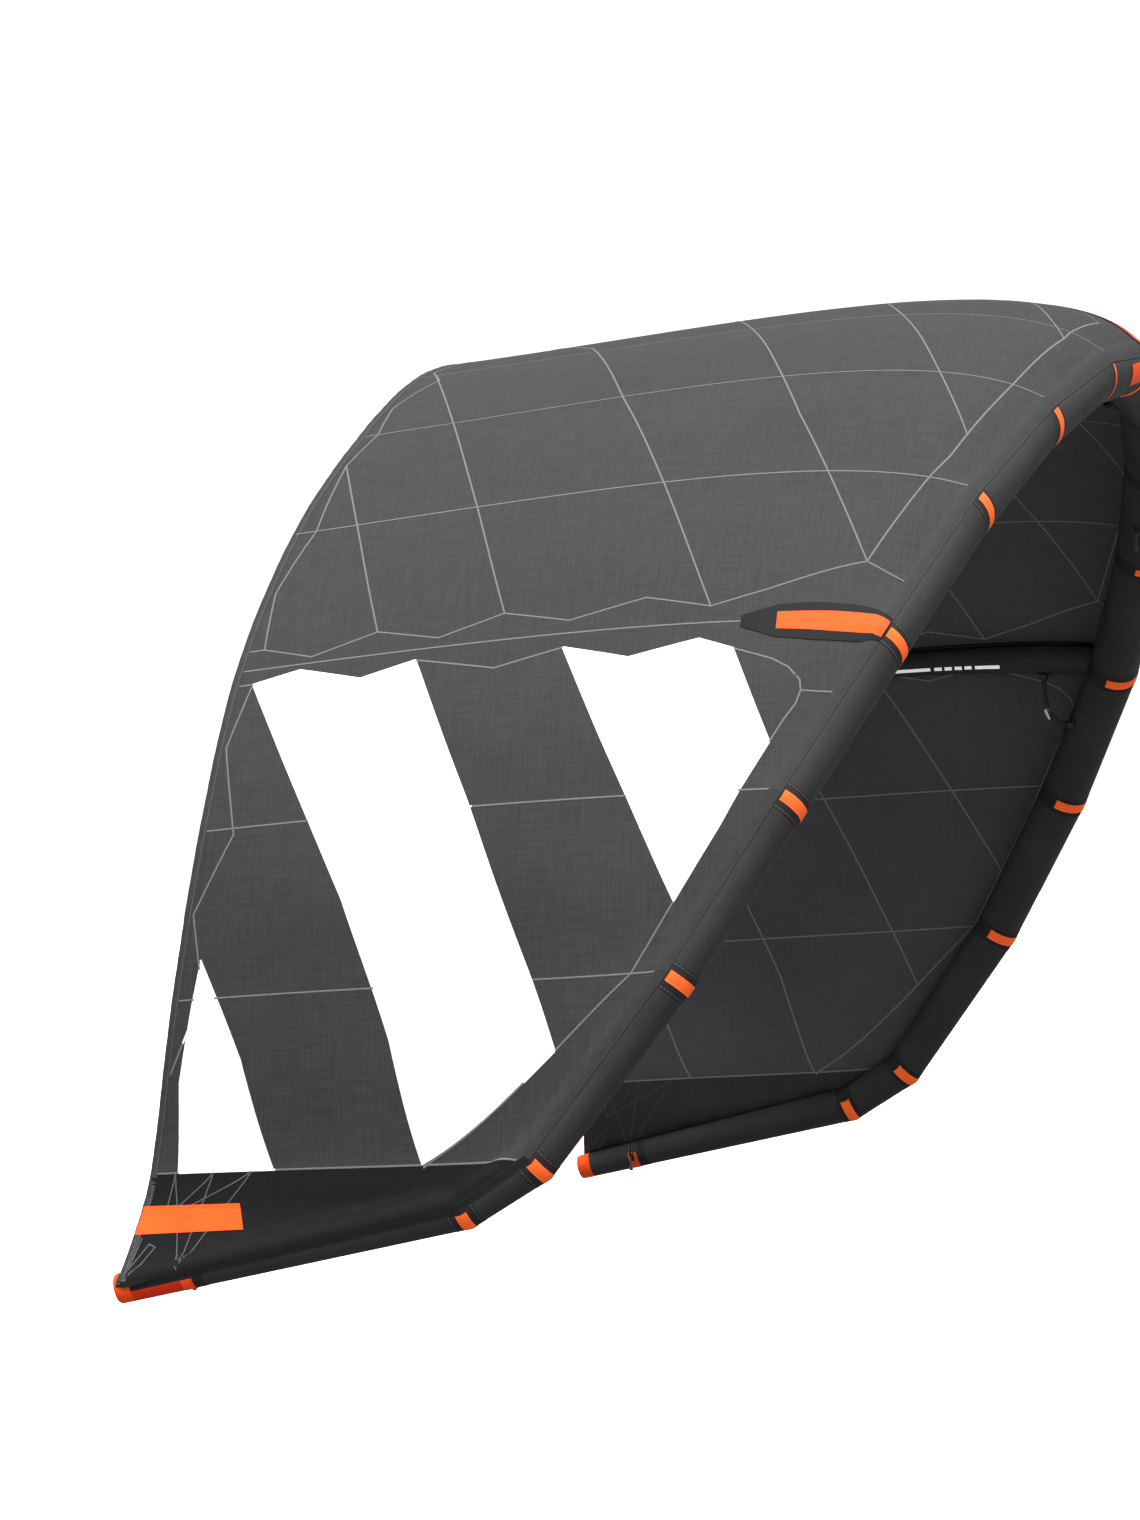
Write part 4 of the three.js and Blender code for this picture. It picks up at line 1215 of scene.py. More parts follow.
def add_tip(name, side):
    """The tough cover, band, tape and cap of a tip."""
    start = leave_angle(TIP) + BAND_START

    def piece(label, ends, angles, lifts, material, slot):
        insets = np.linspace(-ends[1], -ends[0], 6)
        uv = round_uv(np.radians(angles) * RADIUS[TIP], insets)
        part = layered(lambda lift: np.array([by_mitre(TIP, i, angles, lift) for i in insets]),
                       lifts, uv, side)
        return add_piece(f"{label}_{name}", part, material, slot)

    cover = piece("tip_guard", (6 * MM, COVER_LENGTH), np.linspace(start, COVER_END, 30),
                  (0.9 * MM, 0.2 * MM), DACRON_RED, "tip_cover")
    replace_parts(cover, f"tip_cover_{name}")
    piece("tip_band", TIP_BAND, np.linspace(start, BAND_END, BAND_STEPS), (1.6 * MM, 1.05 * MM),
          DACRON_ORANGE, "band")
    angles = np.arange(start - TIP_TAPE_BACK, TIP_TAPE_END, TAPE_TURN)
    piece("tip_tape", TIP_TAPE, angles, TAPE_LIFTS, TAPE_BLACK, "sleeve")
    add_cap(name, side)


def add_cap(name, side):
    """The rounded cap over the end of the tube."""
    along = FRAMES[TIP - 1][0]
    outer, inner = ([by_mitre(TIP, -CAP_LENGTH * share - 1e-5, SLEEVE_ANGLES, lift)
                     for share in np.linspace(1, 0, 6)] for lift in CAP_LIFTS)
    rim = outer[-1] - AXIS[TIP]
    for turn in np.radians([25, 50, 70, 84]):
        outer.append(AXIS[TIP] + rim * math.cos(turn) + along * CAP_BULGE * math.sin(turn))
        inner.append(outer[-1] - along * TIP_CLOTH)
    uv = round_uv(np.linspace(0, 0.2, SLEEVE_SIDES + 1), np.linspace(0, 0.06, len(outer)))
    part = mirrored(shell(np.array(outer), np.array(inner), uv, wrap=True), side)
    add_piece(f"tip_cap_{name}", part, DACRON_ORANGE, "tip_cover")


# The hem's way down the tube: angles past the cloth's front edge, and heights there.
HEM_DRAPE = ((2.5, 2.1 * MM), (7, 1.6 * MM), (12, 1.25 * MM), (HEM_REACH, 1.15 * MM))
HEM_BACK = (0.011, 0.004)
HEM_STOP = 0.955
DARK_HEM = 7


def add_front_hem():
    """The sewn tape that joins the canopy's front edge to the tube."""
    parts = []
    for k in range(TIP):
        share = np.linspace(0.001, 0.999 if k < TIP - 1 else HEM_STOP, 14)
        u = k + share
        edge = bare_cloth(u, 0.0)
        _, outward, forward = FRAMES[k]
        rel = edge - AXIS[k]
        angle = np.degrees(np.arctan2(rel @ forward, rel @ outward))

        def place(grow):
            lift = CLOTH_THICK + TAPE_THICK + PROUD + grow
            columns = [cloth(u, v, lift) for v in HEM_BACK]
            columns += [tube_skin(k, share, angle + turn, height + grow)
                        for turn, height in HEM_DRAPE]
            return np.stack(columns, axis=1)

        uv = grid_uv(np.array([8, 3, -3, -9, -16, -24]) * MM, run_lengths(edge))
        parts.append(layered(place, (0.3 * MM, 0.0), uv))
    dark = [int(k >= DARK_HEM) for k, part in enumerate(parts) for _ in part[1]] * len(SIDES)
    add_piece("front_hem", paired(parts), [HEM_FRONT, HEM_TIP], "canopy", indices=dark)


CLOSING_ANGLE = 262
CLOSING_HALF = 5 * MM


def add_closing_seam():
    """The lengthwise seam on the rear of every tube segment, between the mitre tapes."""
    parts = []
    offsets = np.array([-1, 0, 1])
    for k in range(TIP):
        margin = (WIDE_TAPE + 1 * MM) / SEGMENTS[k][0]
        share = np.linspace(margin, 1 - margin, 10)
        angles = CLOSING_ANGLE + offsets * np.degrees(CLOSING_HALF / RADIUS[k])
        uv = grid_uv(offsets * CLOSING_HALF, share * SEGMENTS[k][0])
        parts.append(layered(lambda lift: tube_skin(k, share[:, None], angles, lift),
                             (0.6 * MM, 0.1 * MM), uv))
    add_piece("closing_seam", paired(parts), CLOSING, "sleeve")


# ------------------------------------------------------------------ struts

STRUT_SHARES = (0.015, 0.93)
STRUT_GAP = 2.5 * MM
STRUT_RADII = {0: (0.042, 0.022), STRUT: (0.037, 0.022)}
STRUT_SIDES = 40
# White dashes along a strut's outer line, as shares of the chord.
DASHES = [(0.295, 0.346), *((0.353 + 0.0195 * k, 0.367 + 0.0195 * k) for k in range(4)),
          (0.433, 0.52)]
DASH_ANGLE = 184
DASH_HALF = 4.6 * MM
DASH_LIFTS = (0.7 * MM, 0.4 * MM)
# The band round a strut's tail: its shares of the chord, its angles and its lifts.
TAIL_COVER = (STRUT_SHARES[1] - 0.035, STRUT_SHARES[1] - 0.002)
TAIL_ANGLES = (40, 320)
TAIL_LIFTS = (1.7 * MM, 1.2 * MM)


def strut_radius(station, v):
    """A strut's radius at a share of the chord."""
    front, rear = STRUT_RADII[station]
    return front + (rear - front) * v


def strut_frame(station, v):
    """The strut's axis, its direction, and the ways up to the canopy and across it."""
    v = np.asarray(v, float)
    u = np.full_like(v, station)

    def axis(w):
        normal = cloth_normal(u, w, 0.02)
        if station == 0:
            normal = unit(normal * np.array([1, 0, 1]))
        drop = strut_radius(station, w) + STRUT_GAP
        return bare_cloth(u, w) - normal * drop[..., None], normal

    point, up = axis(v)
    along = unit(axis(v + 0.01)[0] - axis(v - 0.01)[0])
    across = unit(np.cross(along, up))
    across = across * np.sign(across[..., 1:2])
    above = np.cross(across, along)
    above = above * np.sign(np.sum(above * up, axis=-1, keepdims=True))
    return point, along, above, across


# Under the bend near the tube, the sleeve stands off its bladder a little more.
BLADDER_ROOM = 4.5 * MM
BLADDER_TURN = 0.18
BLADDER_REACH = 0.16
# A light wrinkle in the sleeve, and how fast it changes along the chord, in radians.
STRUT_WRINKLE = 0.25 * MM
STRUT_WRINKLES = 190


def strut_skin(station, v, angle, lift=0.0):
    """A point on a strut. The angle is from the line under the canopy, outwards down the
    wing."""
    v, a = np.broadcast_arrays(np.asarray(v, float), np.radians(angle))
    point, _, up, across = strut_frame(station, v)
    wrinkle = STRUT_WRINKLE * np.sin(v * STRUT_WRINKLES + 3 * np.sin(a * 2))
    room = BLADDER_ROOM * np.exp(-(((v - BLADDER_TURN) / BLADDER_REACH) ** 2))
    room = room * (1 - np.cos(a)) / 2
    radius = (strut_radius(station, v) + lift + wrinkle + room)[..., None]
    return point + (up * np.cos(a)[..., None] + across * np.sin(a)[..., None]) * radius


SADDLE_GAP = 1.0 * MM
STRUT_SHAPED = 0.2
# How the strut's tail rounds off: angles, and its depth as a share of the radius.
TAIL_TURNS = np.radians([30, 55, 75, 87])
TAIL_DEPTH = 0.6
STRUT_WRAP = 0.24
FLANGE_START = 0.085
# A flange's way from the canopy, as distances from the strut's line, on to the strut's skin,
# as angles and heights.
FLANGE_OUT = (30 * MM, 20 * MM)
FLANGE_DOWN = ((34, 0.7 * MM), (52, 0.4 * MM))
FLANGE_THICK = 0.5 * MM


def saddle(station, angles):
    """The share of the chord at which each line along a strut meets the leading tube."""
    shares = np.linspace(-0.005, 0.16, 100)
    skin = strut_skin(station, shares[:, None], angles[None, :])
    reach = np.full(skin.shape[:2], np.inf)
    for k in range(max(station - 1, 0), station + 1):
        along = FRAMES[k][0]
        for flip in ((1, FLIP) if station == 0 else (1,)):
            away = skin * flip - AXIS[k]
            away = away - (away @ along)[..., None] * along
            reach = np.minimum(reach, np.linalg.norm(away, axis=-1))
    least = RADIUS[station] + SADDLE_GAP
    return np.array([np.interp(least, column[i:i + 2], shares[i:i + 2])
                     for column, i in zip(reach.T, np.argmax(reach > least, axis=0) - 1)])


def add_strut(name, station, side):
    """A strut's sleeve, from its saddle on the tube to its rounded tail, and its trimmings."""
    angle = np.arange(STRUT_SIDES) * 360 / STRUT_SIDES
    share = np.linspace(0, 1, 14)[:, None]
    front = saddle(station, angle) * (1 - share) + STRUT_SHAPED * share
    rest = np.linspace(STRUT_SHAPED, STRUT_SHARES[1], 38)[1:, None] + 0 * angle
    v = np.concatenate([front, rest])
    point, along, _, _ = (x[0] for x in strut_frame(station, STRUT_SHARES[1:]))
    depth = strut_radius(station, STRUT_SHARES[1]) * TAIL_DEPTH

    def place(lift):
        rows = list(strut_skin(station, v, angle, lift))
        last = rows[-1] - point
        rows += [point + last * math.cos(turn) + along * (depth * math.sin(turn) + min(lift, 0))
                 for turn in TAIL_TURNS]
        return np.array(rows)

    uv = round_uv(np.linspace(0, STRUT_WRAP, STRUT_SIDES + 1), run_lengths(place(0)[:, 0]))
    part = layered(place, (0, -SLEEVE_THICK), uv, side, wrap=True)
    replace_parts(add_piece(f"strut_{name}", part, DACRON_STRUT, "strut"), f"strut_sleeve_{name}")
    add_strut_flanges(name, station, side)
    if station:
        add_dashes(name, station, side)
    tail_cover(name, station, side)


def add_strut_flanges(name, station, side):
    """The two tapes that sew a strut up to the canopy."""
    v = np.linspace(FLANGE_START, STRUT_SHARES[1] - 0.01, 50)
    spine = flat_row(station, v)
    uv = grid_uv(np.array([10, 2, -4, -10]) * MM, spine[:, 1])
    parts = []
    for turn in (1, -1):
        def place(grow):
            columns = [on_cloth(spine + np.array([out * turn, 0]), -PROUD - TAPE_THICK - grow)
                       for out in FLANGE_OUT]
            columns += [strut_skin(station, v, turn * down, height + grow)
                        for down, height in FLANGE_DOWN]
            return np.stack(columns, axis=1)

        parts.append(layered(place, (0.0, FLANGE_THICK), uv, side))
    add_piece(f"strut_flanges_{name}", joined(parts), FLANGE, "strut")


def add_dashes(name, station, side):
    """The row of plain white dashes along a strut."""
    parts = []
    for first, last in DASHES:
        v = np.linspace(first, last, 6)
        turn = math.degrees(DASH_HALF / strut_radius(station, first))
        angles = np.linspace(DASH_ANGLE - turn, DASH_ANGLE + turn, 5)
        uv = grid_uv(np.linspace(-DASH_HALF, DASH_HALF, 5), v)
        parts.append(layered(lambda lift: strut_skin(station, v[:, None], angles, lift),
                             DASH_LIFTS, uv, side))
    add_piece(f"strut_dashes_{name}", joined(parts), PRINT_WHITE_GLOWING, "strut")


def tail_cover(name, station, side):
    """The reinforcement band round a strut's tail."""
    v = np.linspace(*TAIL_COVER, 6)
    angles = np.linspace(*TAIL_ANGLES, 30)
    uv = grid_uv(np.radians(angles) * STRUT_RADII[station][1], v)
    part = layered(lambda lift: strut_skin(station, v[:, None], angles, lift), TAIL_LIFTS, uv,
                   side)
    add_piece(f"strut_tail_{name}", part, TAPE_BLACK, "strut")


# ------------------------------------------------------------------ small parts

def frame_about(direction):
    """Two directions square to a direction."""
    spare = np.array([0.0, 0, 1]) if abs(direction[2]) < 0.9 else np.array([1.0, 0, 0])
    one = unit(np.cross(spare, direction))
    return one, np.cross(direction, one)


def ring_of(one, two, sides, radius):
    """Points round a circle, from the two ways square to its axis."""
    a = np.arange(sides) * 2 * math.pi / sides
    return (one * np.cos(a)[:, None] + two * np.sin(a)[:, None]) * radius


def grip(sides, lobes, depth, start=0.0):
    """How far lobes stand out at each of a ring's points, from -1 to 1 times a depth."""
    a = np.arange(sides) * 2 * math.pi / sides
    return (depth * np.cos(lobes * a + start))[:, None]


def turned(place, axis, outline, sides=48, lobes=0, depth=0.0):
    """A turned solid from pairs of radius and height, with optional grip lobes."""
    one, two = frame_about(axis)
    lobed = 1 - depth / 2 - grip(sides, lobes, depth / 2)
    rings = [place + ring_of(one, two, sides, radius * lobed) + axis * height
             for radius, height in outline]
    turn = np.linspace(0, 2 * math.pi, sides + 1) * max(r for r, _ in outline)
    return solid(np.array(rings), round_uv(turn, run_lengths(np.array(outline))))


def washer(place, axis, outline, sides=48):
    """A turned solid with a hole, from a closed outline of radius and height."""
    one, two = frame_about(axis)
    rings = [place + ring_of(one, two, sides, r) + axis * h for r, h in outline]
    count = len(outline)
    run = run_lengths(np.concatenate([outline, outline[:1]]))
    turn = np.linspace(0, 2 * math.pi, sides + 1) * outline[:, 0].max()
    faces, corners = [], []
    for i in range(count):
        for j in range(sides):
            ring = cell(i, j)
            faces.append([x % count * sides + y % sides for x, y in ring])
            corners.append([(turn[y], run[x]) for x, y in ring])
    return oriented((np.array(rings).reshape(-1, 3), faces, corners))


def swept(points, radius, sides=20, lobes=0, depth=0.0, twist=0.0):
    """A solid swept along points. Its radius may vary, and it may have twisting lobes."""
    tangent = unit(np.gradient(points, axis=0))
    one, _ = frame_about(tangent[0])
    run = run_lengths(points)
    radius = np.broadcast_to(radius, len(points))
    rings = []
    for p, t, r, along in zip(points, tangent, radius, run):
        one = unit(one - t * (one @ t))
        lobed = 1 + grip(sides, lobes, depth, twist * along)
        rings.append(p + ring_of(one, np.cross(t, one), sides, r * lobed))
    turn = np.linspace(0, 2 * math.pi, sides + 1) * radius.max()
    return solid(np.array(rings), round_uv(turn, run))


def bezier(a, b, c, d, count):
    """Points along a cubic curve from a to d."""
    t = np.linspace(0, 1, count)[:, None]
    return (1 - t) ** 3 * a + 3 * t * (1 - t) ** 2 * b + 3 * t**2 * (1 - t) * c + t**3 * d


def on_tube(k, share, angle, side, lift=0.0):
    """A place on a segment's skin, and the way straight out of it."""
    _, outward, forward = FRAMES[k]
    a = math.radians(angle)
    axis = outward * math.cos(a) + forward * math.sin(a)
    radius = RADIUS[k] * (1 - share) + RADIUS[k + 1] * share
    place = AXIS[k] * (1 - share) + AXIS[k + 1] * share + axis * (radius + lift)
    return (place, axis) if side == LEFT else (place * FLIP, axis * FLIP)


PATCH_SIDES = 40
PATCH_HOLE = 0.28
PATCH_SEAM = 4 * MM


def round_patch(name, k, share, angle, side, radius, material):
    """A round sewn patch on the tube."""
    a = np.arange(PATCH_SIDES) * 2 * math.pi / PATCH_SIDES
    radii = np.linspace(PATCH_HOLE, 1, 5)[:, None] * radius

    def place(lift):
        return tube_skin(k, share + radii * np.cos(a) / SEGMENTS[k][0],
                         angle + np.degrees(radii * np.sin(a) / RADIUS[k]), lift)

    turn = np.linspace(0, 2 * math.pi * radius, PATCH_SIDES + 1)
    uv = round_uv(turn, radii[:, 0] - radius + PATCH_SEAM)
    part = layered(place, (0.75 * MM, 0.15 * MM), uv, side, wrap=True)
    add_piece(name, part, material, "sleeve")


VALVES = {
    "inflate": {"segment": 0, "share": 0.5, "angle": 232, "side": LEFT,
                "flange": 30 * MM, "neck": 13 * MM, "bore": 9 * MM, "height": 12 * MM},
    "deflate": {"segment": 6, "share": 0.55, "angle": 205, "side": RIGHT,
                "flange": 24 * MM, "neck": 10 * MM, "bore": 6 * MM, "height": 9 * MM},
}
VALVE_LIFT = 0.8 * MM


def add_valve(name, spec):
    """A screw valve: a round patch, a flanged neck with threads, and a ribbed cap."""
    k, share, angle, side = (spec[key] for key in ("segment", "share", "angle", "side"))
    flange, neck, bore, height = (spec[key] for key in ("flange", "neck", "bore", "height"))
    place, axis = on_tube(k, share, angle, side, VALVE_LIFT)
    round_patch(f"{name}_patch", k, share, angle, side, flange + 12 * MM, ROUND_PATCH)
    outline = [(bore, 0.2 * MM), (flange * 0.98, 0.2 * MM), (flange, 0.6 * MM),
               (flange * 0.97, 1.4 * MM), (neck + 3 * MM, 2.0 * MM), (neck + 1 * MM, 3.2 * MM),
               (neck, 4.2 * MM)]
    for turn in range(3):
        low = 5 * MM + turn * (height - 6.4 * MM) / 3
        outline += [(neck - 0.4 * MM, low), (neck + 0.5 * MM, low + 0.5 * MM),
                    (neck - 0.4 * MM, low + 1.0 * MM)]
    outline += [(neck - 0.8 * MM, height), (bore, height)]
    part = washer(place, axis, np.array(outline), 64)
    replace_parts(add_piece(f"{name}_valve_body", part, PLASTIC, "valve"), f"{name}_valve")
    top = place + axis * (height + 0.3 * MM)
    wide = neck + 1.5 * MM
    lid = [(0.4 * MM, 0), (neck - 1 * MM, 0), (wide - 0.2 * MM, 0.8 * MM), (wide, 1.3 * MM),
           (wide, 3.2 * MM), (wide - 0.5 * MM, 4.0 * MM), (neck - 1.5 * MM, 4.4 * MM),
           (neck - 3 * MM, 3.9 * MM), (0.4 * MM, 3.9 * MM)]
    part = turned(top, axis, lid, 96, lobes=24, depth=0.035)
    cap = add_piece(f"{name}_valve_lid", part, PLASTIC_CAP, "valve_cap", f"{name}_valve_cap")
    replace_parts(cap, f"{name}_valve_cap")


HOSES = {"centre": (0, LEFT, 0.3), "left": (STRUT, LEFT, 0.43), "right": (STRUT, RIGHT, 0.43)}
HOSE_SHARE = 0.2
HOSE_LEAN = 0.55
HOSE_STAND = 2.2 * MM
HOSE_SLACK = 70 * MM
HOSE_PORT_ANGLE = 238
HOSE_RADIUS = 6 * MM
# The ribbed ends of a hose: their length, their pitch, and the ribs' height.
RIBBED = 26 * MM
RIB_PITCH = 3.2 * MM
RIB = 0.45 * MM


def hose_run(station, port_share):
    """The hose's curve on the left wing, from the strut to its port in the tube."""
    v = np.array([HOSE_SHARE])
    point, _, up, across = (x[0] for x in strut_frame(station, v))
    leave = unit(across * HOSE_LEAN + up * (HOSE_LEAN - 1))
    start = point + leave * (strut_radius(station, HOSE_SHARE) + HOSE_STAND)
    port, axis = on_tube(station, port_share, HOSE_PORT_ANGLE, LEFT, HOSE_STAND)
    points = bezier(start, start + leave * HOSE_SLACK, port + axis * HOSE_SLACK, port, 60)
    return points, leave, axis


def add_hose(name, station, side, port_share):
    """A one-pump hose with ribbed ends, an elbow on the strut and a port on the tube."""
    points, leave, axis = hose_run(station, port_share)
    run = run_lengths(points)
    fine = np.linspace(0, run[-1], 260)
    dense = np.stack([np.interp(fine, run, points[:, i]) for i in range(3)], axis=-1)
    rib = RIB * np.cos(fine * 2 * math.pi / RIB_PITCH)
    ends = np.minimum(fine, fine[-1] - fine) < RIBBED
    radius = HOSE_RADIUS - 0.7 * MM + np.where(ends, rib + 0.3 * MM, 0)
    tube = mirrored(swept(dense, radius, 24), side)
    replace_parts(add_piece(f"hose_tube_{name}", tube, RUBBER, "hose"), f"hose_{name}")
    flip = 1 if side == LEFT else FLIP
    collar = [(4 * MM, -1.2 * MM), (15 * MM, -1.0 * MM), (16 * MM, 0.2 * MM),
              (14.5 * MM, 1.4 * MM), (10.5 * MM, 2.6 * MM), (9 * MM, 6 * MM),
              (9.2 * MM, 13 * MM), (8.2 * MM, 14.5 * MM), (6.2 * MM, 14.6 * MM)]
    lean = math.degrees(math.atan2(HOSE_LEAN, HOSE_LEAN - 1))
    foot = strut_skin(station, [HOSE_SHARE], [lean], HOSE_STAND)[0]
    fittings = [turned(place * flip, way * flip, collar)
                for place, way in ((foot, leave), (points[-1], axis))]
    add_piece(f"hose_fittings_{name}", joined(fittings), PLASTIC, "hose")
    add_clip(name, points, side)


def add_clip(name, points, side):
    """The hose clip: a saddle round the hose, and the lever that turns on it."""
    flip = 1 if side == LEFT else FLIP
    i = len(points) // 2
    middle = points[i] * flip
    along = unit(points[i + 1] - points[i - 1]) * flip
    bore = HOSE_RADIUS - 0.35 * MM
    outline = np.array([(bore, -6 * MM), (HOSE_RADIUS + 0.3 * MM, -6 * MM),
                        (HOSE_RADIUS + 0.6 * MM, -5 * MM), (HOSE_RADIUS + 0.6 * MM, 5 * MM),
                        (HOSE_RADIUS + 0.3 * MM, 6 * MM), (bore, 6 * MM)])
    add_piece(f"clip_saddle_{name}", washer(middle, along, outline), PLASTIC_GREY, "hose")
    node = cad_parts[f"hose_clip_{name}"]
    lever = node.copy()
    lever.data = node.data.copy()
    lever.name = f"clip_lever_{name}"
    lever.parent = None
    lever.data.materials.clear()
    lever.data.materials.append(LEVER)
    bpy.context.scene.collection.objects.link(lever)
    shape = bmesh.new()
    shape.from_mesh(lever.data)
    bmesh.ops.remove_doubles(shape, verts=shape.verts, dist=0.01 * MM)
    crisp = [e for e in shape.edges if len(e.link_faces) == 2 and e.calc_face_angle() > 0.6]
    bmesh.ops.bevel(shape, geom=crisp, offset=0.5 * MM, segments=3, affect="EDGES")
    shape.to_mesh(lever.data)
    shape.free()
    lever.data.polygons.foreach_set("use_smooth", [True] * len(lever.data.polygons))
    lever.data.set_sharp_from_angle(angle=SHARP)
    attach(lever, f"hose_clip_{name}")
    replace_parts(lever, f"hose_clip_{name}")


ROPE_RADIUS = 2.3 * MM
ROPE_TWIST = 700
# Each pigtail: its segment, its share along it, its angle round the tube, and its length.
PIGTAILS = {"front": (2, 0.5, 200, 45 * MM), "rear": (8, 0.8, 185, 45 * MM)}
PIGTAIL_STAND = 4 * MM
PIGTAIL_EYE = 6 * MM
KNOT = 11 * MM


def add_pigtail(end, name, side):
    """A braided line hanging from a webbing loop, ending in a stopper knot."""
    k, share, angle, length = PIGTAILS[end]
    place, axis = on_tube(k, share, angle, side, PIGTAIL_STAND)
    eye = place + axis * PIGTAIL_EYE
    down = np.array([0, 0, -1.0])
    top = eye - down * (PIGTAIL_EYE - 1 * MM)
    straight_part = np.linspace(top, eye + down * (length - KNOT + 1 * MM), 60)
    rope = swept(straight_part, ROPE_RADIUS, 24, lobes=4, depth=0.07, twist=ROPE_TWIST)
    tail = length - KNOT
    outline = [(1.5 * MM, tail - 2 * MM), (3.6 * MM, tail - 0.6 * MM), (5.1 * MM, tail + 1.6 * MM),
               (5.4 * MM, tail + 3.6 * MM), (4.6 * MM, tail + 5.0 * MM),
               (5.4 * MM, tail + 6.6 * MM), (5.3 * MM, tail + 8.6 * MM),
               (4.4 * MM, length - 0.6 * MM), (3.6 * MM, length)]
    knot = turned(eye, down, outline, 40, lobes=5, depth=0.06)
    body = f"{end}_pigtail_{name}"
    piece = add_piece(f"{end}_line_{name}", joined([rope, knot]), ROPE, "pigtail", body)
    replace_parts(piece, body)
    along = FRAMES[k][0] * (1 if side == LEFT else FLIP)
    add_loop(f"{end}_loop_{name}", place, axis, along)


def add_loop(name, place, axis, along):
    """A folded webbing loop sewn to the tube, round the eye of a line."""
    across = unit(along - axis * (along @ axis))
    square = np.cross(axis, across)
    foot = place - axis * (PIGTAIL_STAND - 0.3 * MM)
    a = np.radians(np.linspace(-30, 210, 17))
    high = PIGTAIL_STAND + PIGTAIL_EYE
    bow = [foot + square * 6.5 * MM * math.cos(t) + axis * (high + 4.5 * MM * math.sin(t))
           for t in a]
    legs = [foot + square * 20 * MM + axis * 0.4 * MM, foot + square * 9 * MM + axis * 0.6 * MM]
    other = [foot - square * 9 * MM + axis * 0.6 * MM, foot - square * 20 * MM + axis * 0.4 * MM]
    line = np.array([*legs, *bow, *other])
    tangent = unit(np.gradient(line, axis=0))
    normal = np.cross(tangent, across)
    half = 6 * MM
    widths = (-half, 0, half)
    part = layered(lambda lift: np.stack([line + normal * lift + across * w for w in widths],
                                         axis=1),
                   (0.6 * MM, -0.6 * MM), grid_uv(widths, run_lengths(line)))
    add_piece(name, part, WEBBING, "sleeve")


# ------------------------------------------------------------------ the whole kite

add_canopy()
add_rear_hem()
add_front_hem()
add_closing_seam()
add_band("centre", LEFT, 0)
add_centre_label()
for side_name, wing_side in SIDES.items():
    add_tip_stitching(side_name, wing_side)
    add_tip_patch(side_name, wing_side)
    for segment in range(TIP):
        add_sleeve(side_name, wing_side, segment)
    for joint_station in range(1, TIP):
        add_band(f"{side_name}_{joint_station}", wing_side, joint_station)
    add_tip(side_name, wing_side)
    add_strut_patch(side_name, STRUT, wing_side)
    add_strut(side_name, STRUT, wing_side)
    for line_end in PIGTAILS:
        add_pigtail(line_end, side_name, wing_side)
add_strut_patch("centre", 0, LEFT)
add_strut("centre", 0, LEFT)
for valve_name, valve_spec in VALVES.items():
    add_valve(valve_name, valve_spec)
for hose_name, hose_spec in HOSES.items():
    add_hose(hose_name, *hose_spec)

for node_name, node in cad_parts.items():
    if "bladder" in node_name:
        node.data.materials.clear()
        node.data.materials.append(BLADDER)

# ------------------------------------------------------------------ floor, light and camera

FLOOR_DROP = 0.9
FLOOR_REACH = 120
FLOOR_TONE = (0.9, 0.9, 0.9, 1)
FLOOR_BOUNCE = (0.14, 0.14, 0.14, 1)
floor_mesh = bpy.data.meshes.new("floor")
reach = FLOOR_REACH
bottom = cad_box[0][2] - FLOOR_DROP
floor_mesh.from_pydata([(-reach, -reach, bottom), (reach, -reach, bottom),
                        (reach, reach, bottom), (-reach, reach, bottom)], [], [(0, 1, 2, 3)])
floor = bpy.data.objects.new("floor", floor_mesh)
bpy.context.scene.collection.objects.link(floor)
pale = Shader("floor_pale")
seen = pale.node("LightPath").outputs["Is Camera Ray"]
floor_mesh.materials.append(pale.finish(pale.blend(seen, FLOOR_BOUNCE, FLOOR_TONE), 0.9))

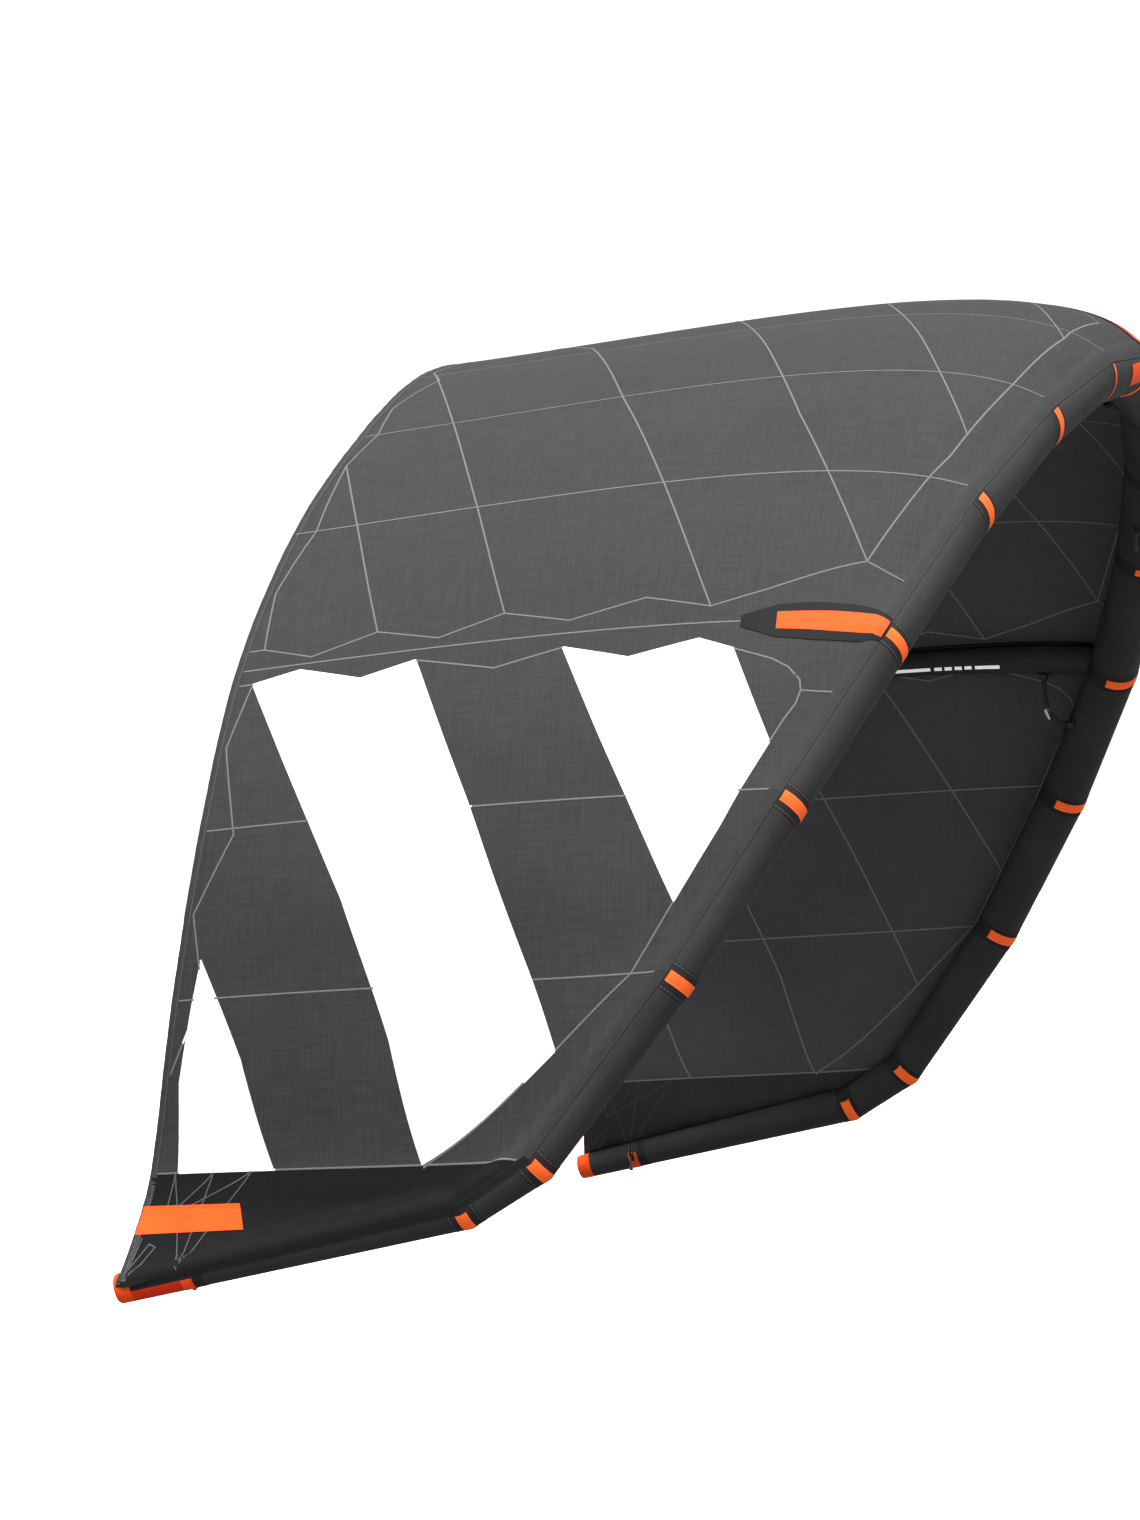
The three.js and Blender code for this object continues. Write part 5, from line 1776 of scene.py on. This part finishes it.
# The sky is brightest overhead. The camera sees it as plain white.
SKY_HORIZON = 0.27
SKY_TOP = 1.25
WHITE_CARD = 1.2
world = bpy.data.worlds.new("studio")
bpy.context.scene.world = world
world.use_nodes = True
sky = Nodes(world.node_tree)
background = sky.tree.nodes["Background"]
rays = sky.node("LightPath")
height = sky.node("SeparateXYZ", {0: sky.node("TexCoord").outputs["Generated"]})
rise = sky.node("MapRange", {"Value": height.outputs["Z"], "To Min": SKY_HORIZON,
                             "To Max": SKY_TOP})
pick = sky.node("Mix", {"Factor": rays.outputs["Is Camera Ray"], "A": rise.outputs[0],
                        "B": WHITE_CARD})
sky.feed(background.inputs["Strength"], pick.outputs[0])
sky.feed(background.inputs["Color"], (1, 1, 1, 1))


def add_sun(name, strength, direction, width):
    """A distant light from a direction, as wide as width in degrees."""
    light = bpy.data.lights.new(name, "SUN")
    light.energy = strength
    light.angle = math.radians(width)
    obj = bpy.data.objects.new(name, light)
    obj.rotation_mode = "QUATERNION"
    obj.rotation_quaternion = Vector(direction).to_track_quat("Z", "Y")
    bpy.context.scene.collection.objects.link(obj)
    return obj


add_sun("overhead", 6.4, (0.15, -0.32, 1.0), 60)
add_sun("front_fill", 0.9, (0.3, -1.0, -0.1), 60)

AZIMUTH = math.radians(14.26)
ELEVATION = math.radians(-0.66)
ROLL = math.radians(-2.16)
DISTANCE = 13.684
SHIFT_RIGHT = 1.2614
SHIFT_UP = 0.908
LENS = 141.0
back = Vector((math.sin(AZIMUTH) * math.cos(ELEVATION), -math.cos(AZIMUTH) * math.cos(ELEVATION),
               math.sin(ELEVATION)))
level = Vector((math.cos(AZIMUTH), math.sin(AZIMUTH), 0))
upright = back.cross(level)
right = level * math.cos(ROLL) + upright * math.sin(ROLL)
up = upright * math.cos(ROLL) - level * math.sin(ROLL)
camera_data = bpy.data.cameras.new("camera")
camera_data.lens = LENS
camera = bpy.data.objects.new("camera", camera_data)
place = back * DISTANCE - right * SHIFT_RIGHT - up * SHIFT_UP
turn = Matrix((right, up, back)).transposed().to_4x4()
camera.matrix_world = Matrix.Translation(place) @ turn
bpy.context.scene.collection.objects.link(camera)
bpy.context.scene.camera = camera
bpy.context.scene.view_settings.view_transform = "Standard"
